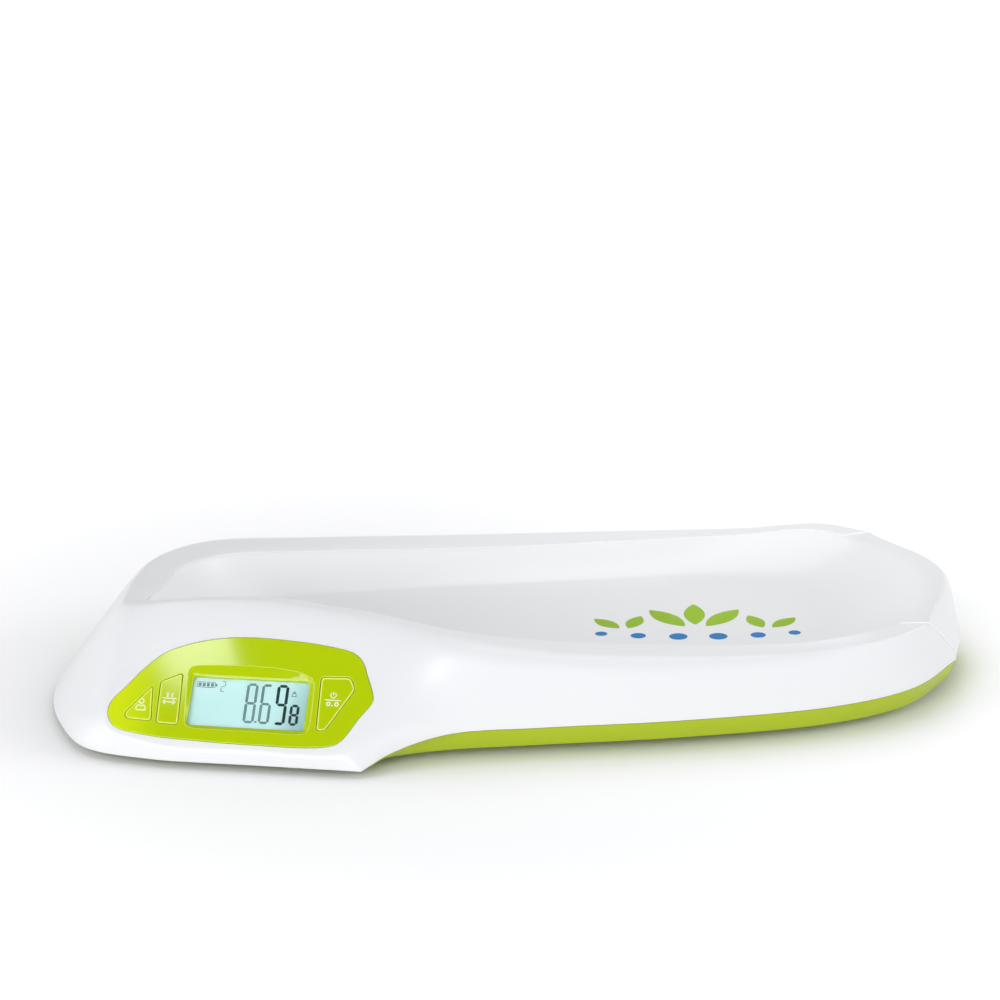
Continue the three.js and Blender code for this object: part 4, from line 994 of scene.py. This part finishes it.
def make_key(name):
    """Cap with a raised bead round it, pale with painted highlight, a flange behind its slot, and a stem."""
    flange_top = -FASCIA_DEPTH - GAP
    flange_foot = flange_top - KEY_FLANGE_DEPTH
    outline = slot_outline(name, 0)
    bm = bmesh.new()
    low = stack(bm, outline, [(-KEY_FLANGE, flange_foot), (-KEY_FLANGE, flange_top), (0, flange_top)])
    bead = ((0.12, -0.3), (0.2, -0.04), (0.42, 0.12), (0.68, 0.14), (0.95, 0.05), (1.15, -0.04))
    # The bead takes the paler material: painted highlight.
    rings = stack(bm, outline, [(inward, FASCIA_PROUD + rise) for inward, rise in bead], index=1)
    bridge(bm, low[-1], rings[0])
    fill(bm, [rings[-1]], True)
    middle = np.mean(on_panel(KEY_OUTLINES[name]), axis=0)
    outline = box_outline(KEY_STEM, KEY_STEM, 0.6, *middle)
    stem = stack(bm, outline, [(0, PLUNGER_TOP + GAP), (0, flange_foot)])
    fill(bm, [stem[0]], False)
    fill(bm, [low[0], stem[-1]], False)
    thing = new_object(f"keycap_{name}", bm, 40, PANEL)
    dress(thing, f"{name}_key", "panel_green", LIME, LIME_HIGHLIGHT)
    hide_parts(f"key_{name}")


make_fascia()
for key_name in KEY_OUTLINES:
    make_key(key_name)

# Pictograms and digits
# Height of a face over the panel's plane, and how far its marks stand proud
KEY_FACE = (FASCIA_PROUD - 0.04, 0.08)
CELL_FACE = (CELL_TOP + 0.02, 0.03)
KEY_LINE = 0.72
SEGMENTS = {"2": "abged", "6": "afgcde", "8": "abcdefg", "9": "abcdfg"}
SEGMENT_GAP = 0.16


def blob(bm, outline, face):
    """Thin raised flat shape."""
    foot, top = flat_ring(bm, outline, face[0]), flat_ring(bm, outline, sum(face))
    bridge(bm, foot, top)
    bm.faces.new(top)
    bm.faces.new(foot[::-1])


def stroke(bm, points, width, face, closed=False):
    """Thin raised ribbon along a flat path in the panel's plane, with round ends where it is open."""
    points = np.asarray(points, float)
    if closed:
        along = unit(np.roll(points, -1, axis=0) - np.roll(points, 1, axis=0))
    else:
        along = unit(np.gradient(points, axis=0))
    across = np.column_stack([-along[:, 1], along[:, 0]]) * width / 2
    sides = (points + across, points - across)
    top, foot = ([flat_ring(bm, side, z) for side in sides] for z in (sum(face), face[0]))
    tube_sides = (top[1], top[0], foot[0], foot[1], top[1])
    count = len(points)
    for i in range(count if closed else count - 1):
        j = (i + 1) % count
        for one, next_one in zip(tube_sides, tube_sides[1:]):
            bm.faces.new((one[i], one[j], next_one[j], next_one[i]))
    if not closed:
        for i in (0, count - 1):
            bm.faces.new((top[0][i], foot[0][i], foot[1][i], top[1][i]))
            blob(bm, circle(width / 2, *points[i], sides=12), face)


def finish_marks(name, bm, body, slot, material):
    dress(new_object(name, recalculated(bm), 40, PANEL), body, slot, material)


def make_key_marks():
    """Plain pictograms: a figure, a held weight, and a zero under a power sign."""
    marks = {name: bmesh.new() for name in KEY_OUTLINES}
    bm, middle = marks["user"], np.array((-68.1, -2.3))
    stroke(bm, middle + arc(1.55, 0, 345), KEY_LINE, KEY_FACE, True)
    body = [(-3.0, -6.1), (3.2, -6.2), (3.0, -4.2), (1.6, -2.5), (0, -3.6), (-1.7, -2.5), (-2.9, -4.2)]
    stroke(bm, rounded(middle + body, 0.9), KEY_LINE, KEY_FACE, True)

    bm, middle = marks["hold"], np.array((-50.6, 0.6))
    stroke(bm, middle + [(-4.5, 0.15), (4.5, -0.15)], KEY_LINE, KEY_FACE)
    for sign in (-1, 1):
        stroke(bm, middle + [(sign * 1.5, 1.45), (sign * 1.5, 3.35)], 1.5, KEY_FACE)
        arrow = [(sign * 2.5, -1.3), (sign * 4.2, -2.55), (sign * 2.5, -3.8)]
        stroke(bm, middle + arrow, KEY_LINE, KEY_FACE)
    stroke(bm, middle + [(-3.9, -2.55), (3.9, -2.55)], KEY_LINE, KEY_FACE)

    bm, middle = marks["zero"], np.array((52.9, 5.4))
    stroke(bm, middle + [(-4.9, 0.1), (4.9, -0.1)], KEY_LINE, KEY_FACE)
    stroke(bm, middle + arc(1.75, 128, 412, 0, 3.5), 0.66, KEY_FACE)
    stroke(bm, middle + [(0, 3.7), (0, 5.6)], 0.66, KEY_FACE)
    for x in (-2.6, 2.6):
        stroke(bm, middle + box_outline(2.0, 2.3, 0.95, x, -2.7), 0.8, KEY_FACE, True)
    blob(bm, middle + circle(0.5, 0, -3.75, 14), KEY_FACE)
    for name, bm in marks.items():
        finish_marks(f"mark_{name}", bm, f"{name}_key", "panel_green", PRINT_WHITE)


def segment_bars(bm, sign, x, y, width, height, thick, lean=0.0):
    """Bars of a seven-segment sign, with pointed ends, round a middle x and a foot y."""
    half, left, right = height / 2, -width / 2, width / 2
    bars = {
        "a": ((left, height), (right, height)), "g": ((left, half), (right, half)),
        "d": ((left, 0), (right, 0)), "f": ((left, half), (left, height)),
        "e": ((left, 0), (left, half)), "b": ((right, half), (right, height)),
        "c": ((right, 0), (right, half)),
    }
    for name in SEGMENTS[sign]:
        start, end = (np.array(p, float) for p in bars[name])
        along = (end - start) / np.linalg.norm(end - start)
        side = np.array([-along[1], along[0]]) * thick / 2
        tip = along * thick / 2
        start, end = start + along * SEGMENT_GAP, end - along * SEGMENT_GAP
        outline = [start, start + tip - side, end - tip - side, end, end - tip + side, start + tip + side]
        blob(bm, [(x + px + lean * py, y + py) for px, py in outline], CELL_FACE)


def make_reading():
    """Digits and small marks on the display's cell."""
    foot = -10.1
    pale, dark, marks = bmesh.new(), bmesh.new(), bmesh.new()
    for bm, *sign in ((pale, "8", 0.0, foot, 5.5, 25.9, 1.8), (pale, "6", 9.6, foot, 5.4, 25.9, 1.8),
                      (dark, "9", 19.5, foot, 5.6, 25.9, 1.95), (dark, "8", 28.45, foot, 4.3, 12.8, 1.75),
                      (marks, "2", -19.2, 10.0, 2.3, 6.8, 0.55, 0.08)):
        segment_bars(bm, *sign)
    blob(pale, circle(0.8, 4.8, foot + 0.3, 16), CELL_FACE)
    stroke(marks, box_outline(11.6, 3.6, 0.8, -29.9, 14.1), 0.5, CELL_FACE, True)
    blob(marks, box_outline(1.0, 1.9, 0.3, -23.2, 14.1), CELL_FACE)
    for k in range(4):
        blob(marks, box_outline(1.9, 2.3, 0.2, -33.9 + 2.65 * k, 14.1), CELL_FACE)
    stroke(marks, [(25.4, 9.2), (28.4, 9.2), (27.8, 11.2), (26.0, 11.2)], 0.55, CELL_FACE, True)
    stroke(marks, arc(0.6, -40, 220, 26.9, 11.9, 12), 0.45, CELL_FACE)
    groups = (("left", pale, SEGMENT_PALE), ("right", dark, SEGMENT), ("marks", marks, SEGMENT_MARK))
    for name, bm, material in groups:
        finish_marks(f"reading_{name}", bm, "housing", "display_cyan", material)


make_key_marks()
make_reading()

# Base
BASE_RISE, BASE_FLOOR = 6.205, 3.0
BASE_TOP = BASE_RISE + BASE_FLOOR
BASE_WALL = 2.4
BASE_UNDERCUT, BASE_ROUND = 7.0, 1.6
BASE_LIP = 1.2
BASE_TONGUE, BASE_TONGUE_INSET = 2.4, 6.0
BASE_HIDDEN_INSET = 10.0
FOOT_PLACES = [(-0.66, -0.54), (0.66, -0.56), (0.66, 0.56), (-0.66, 0.56)]
FOOT_RADIUS, FOOT_SLACK = 17.0, 0.8
PAD_RADIUS, PAD_DEPTH = 14.0, 2.4
SCREW_PLACES = [(-0.86, -0.2), (-0.34, -0.8), (0.28, -0.8), (0.83, -0.3),
                (0.83, 0.3), (0.28, 0.8), (-0.34, 0.8), (-0.86, 0.2)]
SCREW_HEAD_RADIUS, SCREW_HEAD = 3.0, 2.0
SCREW_SHANK, SCREW_CORE = 1.6, 1.3
FOOT_SIDES, SCREW_SIDES = 72, 32
BATTERY_RADIUS, BATTERY_LENGTH, BATTERY_TIP = 7.1, 49.2, 1.3
BATTERY_PITCH = 2 * BATTERY_RADIUS + 1
BAY_X, BAY_Y = spot((0.2, 0.0))
BAY_LENGTH, BAY_WIDTH = BATTERY_LENGTH + BATTERY_TIP + 6.0, 4 * BATTERY_PITCH + 1
DOOR_DEPTH, DOOR_LENGTH, DOOR_WIDTH = 2.0, BAY_LENGTH + 8, BAY_WIDTH + 8
DOOR_TOP = BASE_RISE + DOOR_DEPTH
GROOVES, GROOVE_PITCH, GRIP_WIDTH = 5, 2.2, 18
BATTERY_LOW = DOOR_TOP + GAP
BAY_ROOF = BATTERY_LOW + BATTERY_PITCH


def make_base():
    """Lower shell: its wall under the upper moulding's edge, the floor with its holes, and the bay."""
    edge = np.array([GUIDES[0](index) for index in np.arange(0, SECTION_COUNT, 1 / PER_SECTION)])
    around = np.roll(edge, -1, axis=0) - np.roll(edge, 1, axis=0)
    inward = unit(np.column_stack([-around[:, 1], around[:, 0], np.zeros(len(edge))]))
    shown = edge[:, 2] > BASE_RISE + BASE_LIP
    inset = np.where(shown, 0.0, BASE_HIDDEN_INSET)
    wall_top = np.where(shown, edge[:, 2] - GAP, BASE_TOP + BASE_FLOOR)
    climb = wall_top - BASE_RISE
    tongue_inset = np.where(shown, BASE_TONGUE_INSET, BASE_HIDDEN_INSET + GAP)
    tongue_top = np.where(shown, edge[:, 2] + BASE_TONGUE, BASE_TOP + BASE_FLOOR + GAP)
    bm = bmesh.new()
    rings = []
    for depth, height in (
            (inset + BASE_UNDERCUT + BASE_ROUND, BASE_RISE), (inset + BASE_UNDERCUT, BASE_RISE),
            (inset + BASE_UNDERCUT - BASE_ROUND * 0.55, BASE_RISE + 0.45),
            (inset + BASE_UNDERCUT * 0.62, BASE_RISE + climb * 0.28),
            (inset + BASE_UNDERCUT * 0.3, BASE_RISE + climb * 0.6),
            (inset + 0.3, wall_top - 0.5), (inset, wall_top - 0.25), (inset + 0.25, wall_top),
            (tongue_inset, wall_top), (tongue_inset, tongue_top),
            (tongue_inset + BASE_WALL, tongue_top), (tongue_inset + BASE_WALL, BASE_TOP)):
        points = edge + inward * depth[:, None]
        points[:, 2] = height
        rings.append(ring(bm, in_box(points)))
    skin(bm, rings)
    feet, tops = [rings[0]], [rings[-1]]
    head = BASE_TOP + SCREW_HEAD
    foot_profile = [(-0.5, BASE_RISE), (-0.12, BASE_RISE + 0.15), (0, BASE_RISE + 0.5), (0, BASE_TOP)]
    screw_profile = [(-0.4, BASE_RISE), (0, BASE_RISE + 0.4), (0, head), (1.2, head),
                     (1.2, head + 3), (-2.2, head + 3), (-2.2, BASE_TOP)]
    for radius, places, sides, profile in (
            (FOOT_RADIUS + FOOT_SLACK, FOOT_PLACES, FOOT_SIDES, foot_profile),
            (SCREW_HEAD_RADIUS + GAP, SCREW_PLACES, SCREW_SIDES, screw_profile)):
        for shares in places:
            hole = stack(bm, circle(radius, *spot(shares), sides), profile, flip=True)
            feet.append(hole[0])
            tops.append(hole[-1])
    doorway = [
        (DOOR_LENGTH + 3.6, DOOR_WIDTH + 1.6, 2.0, BASE_RISE),
        (DOOR_LENGTH + 3.0, DOOR_WIDTH + 1.0, 1.7, BASE_RISE + 0.3),
        (DOOR_LENGTH + 3.0, DOOR_WIDTH + 1.0, 1.7, DOOR_TOP + GAP),
        (BAY_LENGTH, BAY_WIDTH, 0.8, DOOR_TOP + GAP),
        (BAY_LENGTH, BAY_WIDTH, 0.8, BAY_ROOF),
    ]
    bay = [flat_ring(bm, box_outline(a, b, r, BAY_X, BAY_Y), z) for a, b, r, z in doorway]
    skin(bm, bay, flip=True)
    fill(bm, [bay[-1]], False)
    feet.append(bay[0])
    cover = stack(bm, box_outline(BAY_LENGTH + 4, BAY_WIDTH + 4, 1.5, BAY_X, BAY_Y),
                  [(0, BASE_TOP), (0, BAY_ROOF + 2)])
    fill(bm, [cover[1]], True)
    tops.append(cover[0])
    fill(bm, feet, False)
    fill(bm, tops, True)
    thing = new_object("base_moulding", bm, 30)
    dress(thing, "housing", "base_green", BASE_LIME)
    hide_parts("base_shell")


def make_feet():
    """Disc under each load cell, and its grooved rubber pad."""
    low = PAD_DEPTH + GAP
    rim, top, pin = low - 1, low + 3.4, BASE_TOP + 5 - GAP
    outer, held, pad = FOOT_RADIUS, PAD_RADIUS + GAP, PAD_RADIUS
    disc_profile = [(0, low), (held, low), (held, rim + 0.3), (held + 0.3, rim), (outer - 0.7, rim),
                    (outer - 0.2, rim + 0.2), (outer, rim + 0.7), (outer, top - 0.7),
                    (outer - 0.2, top - 0.2), (outer - 0.7, top), (5, top), (5, pin), (0, pin)]
    pad_profile = [(0, 0)]
    for radius in (4.0, 6.5, 9.0, 11.5):
        pad_profile += [(radius - 0.45, 0), (radius - 0.3, 0.5), (radius + 0.3, 0.5), (radius + 0.45, 0)]
    pad_profile += [(pad - 0.8, 0), (pad - 0.25, 0.2), (pad, 0.8), (pad, PAD_DEPTH - 0.3),
                    (pad - 0.3, PAD_DEPTH), (0, PAD_DEPTH)]
    for i, shares in enumerate(FOOT_PLACES):
        bm = bmesh.new()
        lathe(bm, disc_profile, *spot(shares))
        thing = new_object(f"foot_disc_{i + 1}", bm, 40)
        dress(thing, "housing", "grey_plastic", GREY)
        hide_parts(f"foot_{i + 1}")
        bm = bmesh.new()
        lathe(bm, pad_profile, *spot(shares))
        thing = new_object(f"pad_{i + 1}", bm, 40)
        dress(thing, "housing", "foot_rubber", RUBBER)
        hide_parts(f"foot_pad_{i + 1}")


def make_screws():
    """Cross-head screws with a thread, each at its own turn."""
    top = BASE_TOP + SCREW_HEAD - GAP
    low = top - SCREW_HEAD
    arm, half = 1.7, 0.38
    cross = [(arm, -half), (arm, half), (half, half), (half, arm), (-half, arm), (-half, half),
             (-arm, half), (-arm, -half), (-half, -half), (-half, -arm), (half, -arm), (half, -half)]
    head = SCREW_HEAD_RADIUS
    profile = [(head - 0.9, low), (head - 0.35, low + 0.25), (head - 0.06, low + 0.7), (head, top - 0.3),
               (head - 0.1, top), (SCREW_SHANK, top)]
    z = top
    while z < BASE_RISE + 17:
        profile += [(SCREW_SHANK, z + 0.3), (SCREW_CORE, z + 0.6)]
        z += 0.9
    profile.append((SCREW_CORE, BASE_RISE + 17.4))
    for i, shares in enumerate(SCREW_PLACES):
        x, y = spot(shares)
        bm = bmesh.new()
        rings = [flat_ring(bm, circle(radius, x, y, SCREW_SIDES), z) for radius, z in profile]
        skin(bm, rings)
        tip = bm.verts.new((x, y, BASE_RISE + 18))
        for k in range(SCREW_SIDES):
            bm.faces.new((rings[-1][k], rings[-1][(k + 1) % SCREW_SIDES], tip))
        outline = turned(cross, math.radians(17 + 41 * i)) + (x, y)
        fill(bm, [rings[0], recess(bm, outline, outline, low, 1.1)], False)
        thing = new_object(f"screw_body_{i + 1}", bm, 40)
        dress(thing, "housing", "zinc_steel", STEEL)
        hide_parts(f"screw_{i + 1}")


def make_door():
    """Cover with grip grooves and an arrow, its hinge's barrel and its latch's tongue."""
    bm = bmesh.new()
    plate = box_outline(DOOR_LENGTH, DOOR_WIDTH, 1.2, BAY_X, BAY_Y)
    rings = stack(bm, plate, [(0.35, BASE_RISE), (0.1, BASE_RISE + 0.1), (0, BASE_RISE + 0.35),
                              (0, DOOR_TOP - 0.2), (0.2, DOOR_TOP)])
    fill(bm, [rings[-1]], True)
    end = BAY_X + DOOR_LENGTH / 2
    holes = [rings[0]]
    for k in range(GROOVES):
        groove = box_outline(1.0, GRIP_WIDTH, 0.45, end - 8 - GROOVE_PITCH * k, BAY_Y, 4)
        holes.append(recess(bm, offset(groove, 0.12), groove, BASE_RISE, 0.6))
    arrow = rounded([(end - 24, BAY_Y - 4), (end - 31, BAY_Y), (end - 24, BAY_Y + 4)], 0.6, 4)
    holes.append(recess(bm, arrow, offset(arrow, -0.15), BASE_RISE, 0.5))
    fill(bm, holes, False)
    pin = DOOR_WIDTH / 2 + 2.4
    hinge_x, hinge_z = BAY_X - DOOR_LENGTH / 2, BASE_RISE + DOOR_DEPTH / 2
    barrel = []
    for radius, y in ((0.8, -pin), (1.0, 0.2 - pin), (1.0, pin - 0.2), (0.8, pin)):
        x, z = circle(radius, hinge_x, hinge_z, 24).T
        barrel.append(ring(bm, np.column_stack([x, np.full(24, BAY_Y + y), z])))
    skin(bm, barrel, flip=True)
    bm.faces.new(barrel[0])
    bm.faces.new(barrel[-1][::-1])
    tongue = box_outline(3, GRIP_WIDTH, 0.5, end, BAY_Y, 4)
    rings = stack(bm, tongue, [(0.2, DOOR_TOP - 1.2), (0, DOOR_TOP - 1.0),
                               (0, DOOR_TOP - 0.2), (0.2, DOOR_TOP)])
    fill(bm, [rings[-1]], True)
    fill(bm, [rings[0]], False)
    thing = new_object("door_moulding", recalculated(bm))
    dress(thing, "door", "base_green", BASE_LIME)
    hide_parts("battery_door")


def make_batteries():
    """Four cells side by side, with their ends turned about."""
    half, radius = BATTERY_LENGTH / 2, BATTERY_RADIUS
    profile = [(0, -half), (4.6, -half), (4.8, -half + 0.15), (radius - 0.5, -half + 0.15),
               (radius, -half + 0.5), (radius, half * 0.45), (radius, half - 0.5),
               (radius - 0.5, half - 0.1), (2.7, half - 0.1), (2.7, half + BATTERY_TIP - 0.3),
               (2.4, half + BATTERY_TIP), (0, half + BATTERY_TIP)]
    for i in range(4):
        bm = bmesh.new()
        lathe(bm, profile, sides=48)
        for face in bm.faces:
            x, y, z = face.calc_center_median()
            if abs(z) > half - 0.2 or math.hypot(x, y) < 5:
                face.material_index = 1
            elif z > half * 0.45:
                face.material_index = 2
        turn = Matrix.Rotation(math.radians(90 if i % 2 == 0 else -90), 4, "Y")
        y = BAY_Y + (i - 1.5) * BATTERY_PITCH
        move = Matrix.Translation(Vector((BAY_X, y, BATTERY_LOW + radius)) * MM)
        thing = new_object(f"cell_{i + 1}", bm, 40, move @ turn)
        dress(thing, "housing", "cell_jacket", JACKET, NICKEL, GREY)
        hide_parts(f"battery_{i + 1}")


make_base()
make_feet()
make_screws()
make_door()
make_batteries()

# Print on the tray floor
PRINT_CENTRE = (121.0, 2.0)
PRINT_TURN = math.radians(-8)
PRINT_RISE = 0.06
PRINT_EDGE = 4.0              # longest edge of the print's triangles
DOTS = ((-62, -22, 4.0), (-38, -26, 5.0), (-12, -28, 6.0), (14, -28, 6.0), (40, -26, 5.0), (64, -22, 4.0))
LEAVES = ((-7, -9, 38, 15, 2.2), (0, -6, 38, 14, 1.57), (7, -9, 38, 15, 0.94), (-50, -12, 24, 11, 2.3),
          (-44, -12, 24, 11, 1.2), (44, -12, 24, 11, 1.94), (50, -12, 24, 11, 0.84))


def leaf(x, y, length, width, angle):
    t = np.linspace(0, 1, 17)
    bulge = np.sin(np.pi * t) ** 0.8 * width / 2
    near, far = np.column_stack([t * length, bulge]), np.column_stack([t * length, -bulge])[-2:0:-1]
    return turned(np.vstack([near, far]), angle) + (x, y)


def make_print():
    """Lays flat shapes on the tray floor, in triangles small enough to follow it."""
    tree = BVHTree.FromObject(DECK, bpy.context.evaluated_depsgraph_get())

    def laid(outline, name, material):
        bm = bmesh.new()
        face = bm.faces.new(flat_ring(bm, turned(outline, PRINT_TURN) + PRINT_CENTRE, 0))
        bmesh.ops.triangulate(bm, faces=[face])
        for _ in range(4):
            long = [edge for edge in bm.edges if edge.calc_length() > PRINT_EDGE]
            if not long:
                break
            bmesh.ops.subdivide_edges(bm, edges=long, cuts=1)
            bmesh.ops.triangulate(bm, faces=bm.faces)
        for vert in bm.verts:
            hit = tree.ray_cast(Vector((vert.co.x * MM, vert.co.y * MM, 0.2)), Vector((0, 0, -1)))[0]
            vert.co.z = hit.z / MM + PRINT_RISE
        recalculated(bm)
        if sum(face.normal.z for face in bm.faces) < 0:
            bmesh.ops.reverse_faces(bm, faces=bm.faces)
        dress(new_object(name, bm, 60), "housing", "deck_white", material)

    for k, (x, y, radius) in enumerate(DOTS, 1):
        laid(circle(radius, x, y, 40), f"print_dot_{k}", PRINT_BLUE)
    for k, sizes in enumerate(LEAVES, 1):
        laid(leaf(*sizes), f"print_leaf_{k}", PRINT_GREEN)


make_print()

# Stage, light and camera
CAMERA_PLACE = Vector((-0.38730, -2.71881, 1.07460))
CAMERA_FORWARD = Vector((0.130456, 0.936319, -0.326018))
CAMERA_RIGHT = Vector((0.990433, -0.137995, 0.0))
CAMERA_UP = Vector((0.044989, 0.322899, 0.945364))
CAMERA_LENS, CAMERA_FILM = 162, 36
FLOOR_REACH = 9000
# Name, place, point aimed at, size and watts
LAMPS = (
    ("key_light", (-1.7, -3.3, 1.7), (0, 0, 0.04), (2.2, 2.2), 57),
    ("left_light", (-3.3, -0.9, 1.3), (0, 0, 0.04), (2.2, 2.2), 23),
    ("right_light", (3.3, -0.9, 1.3), (0, 0, 0.04), (2.2, 2.2), 42),
    ("low_left_light", (-1.3, -1.5, 0.35), (-0.1, 0, 0.04), (0.7, 0.7), 3.6),
    ("foot_light", (0.18, 0.15, 0.45), (0.24, 0, 0.05), (0.4, 0.4), 0.68),
    ("gloss_light", (-1.10, -0.77, 3.0), (-1.10, -0.77, 0), (0.126, 0.15), 0.5),
)


def make_camera():
    data = bpy.data.cameras.new("camera")
    data.sensor_width = CAMERA_FILM
    data.sensor_fit = "HORIZONTAL"
    data.lens = CAMERA_LENS
    data.clip_start, data.clip_end = 0.05, 60
    camera = bpy.data.objects.new("camera", data)
    turn = Matrix((CAMERA_RIGHT, CAMERA_UP, -CAMERA_FORWARD)).transposed().to_4x4()
    camera.matrix_world = Matrix.Translation(CAMERA_PLACE) @ turn
    bpy.context.scene.collection.objects.link(camera)
    bpy.context.scene.camera = camera


def make_light(name, place_at, target, size, power):
    data = bpy.data.lights.new(name, "AREA")
    data.shape = "RECTANGLE"
    data.size, data.size_y = size
    data.energy = power
    light = bpy.data.objects.new(name, data)
    light.location = place_at
    light.rotation_euler = (Vector(target) - Vector(place_at)).to_track_quat("-Z", "Y").to_euler()
    light.visible_camera = False
    bpy.context.scene.collection.objects.link(light)
    return data


def fade_light(data):
    """Lets a lamp's face die away towards two of its sides."""
    tree = nodes_of(data)
    split = add(tree, "SeparateXYZ", {"Vector": add(tree, "NewGeometry").outputs["Parametric"]})
    across, up = (fade(tree, split.outputs[axis], near, far, kind="SMOOTHSTEP")
                  for axis, near, far in (("X", 0.02, 0.4), ("Y", 0.0, 0.45)))
    both = add(tree, "Math", {0: across, 1: up}, operation="MULTIPLY")
    feed(tree, tree.nodes["Emission"], {"Strength": both})


def seen_directly(tree):
    """1 for camera, glossy and transmission rays, so that gloss and glass show the same white."""
    path = add(tree, "LightPath").outputs
    value = path["Is Camera Ray"]
    for name in ("Is Glossy Ray", "Is Transmission Ray"):
        value = add(tree, "Math", {0: value, 1: path[name]}, operation="MAXIMUM").outputs[0]
    return value


def make_stage():
    """Pale floor that turns white away from the object, where it is seen directly; its shadows stay, and
    near the object the glow is held back as painted shade.
    """
    bm = bmesh.new()
    bmesh.ops.create_grid(bm, x_segments=4, y_segments=4, size=FLOOR_REACH)
    floor = new_object("floor", bm)
    material = bpy.data.materials.new("studio_floor")
    tree = nodes_of(material)
    shader = tree.nodes["Principled BSDF"]
    feed(tree, shader, {"Base Color": (0.88, 0.88, 0.885, 1), "Roughness": 0.7, "Specular IOR Level": 0.2})
    near = add(tree, "AmbientOcclusion", {"Distance": 0.1}, samples=6).outputs["AO"]
    spots = add(tree, "TexCoord").outputs["Object"]
    away = add(tree, "VectorMath", {0: spots}, operation="LENGTH").outputs["Value"]
    # Ambient occlusion and the distance from the floor's middle hold the glow back near the object: painted
    # contact shade.
    total = add(tree, "Math", {0: fade(tree, near, 0.45, 0.95, 0, 0.24, "SMOOTHSTEP"),
                               1: fade(tree, away, 0.15, 0.95, 0, 0.55, "SMOOTHSTEP")})
    glow = add(tree, "AddShader", {0: shader, 1: add(tree, "Emission", {"Strength": total})})
    mix = add(tree, "MixShader", {"Fac": seen_directly(tree), 1: shader, 2: glow})
    feed(tree, tree.nodes["Material Output"], {"Surface": mix})
    floor.data.materials.append(material)


def make_world():
    """Soft light that is weaker from above; white where it is seen directly near the horizon."""
    world = bpy.data.worlds.new("studio")
    bpy.context.scene.world = world
    tree = nodes_of(world)
    way = add(tree, "TexCoord").outputs["Generated"]
    height = add(tree, "SeparateXYZ", {"Vector": way}).outputs["Z"]
    soft = tree.nodes["Background"]
    feed(tree, soft, {
        "Color": (0.96, 0.97, 1.0, 1), "Strength": fade(tree, height, 0.15, 0.65, 0.68, 0.31),
    })
    white = add(tree, "Background", {
        "Color": (1, 1, 1, 1), "Strength": fade(tree, height, 0.35, 0.75, 1.0, 0.06),
    })
    mix = add(tree, "MixShader", {"Fac": seen_directly(tree), 1: soft, 2: white})
    feed(tree, tree.nodes["World Output"], {"Surface": mix})


make_camera()
lamps = [make_light(*lamp) for lamp in LAMPS]
fade_light(lamps[-1])
make_stage()
make_world()
bpy.context.scene.view_settings.view_transform = "Standard"
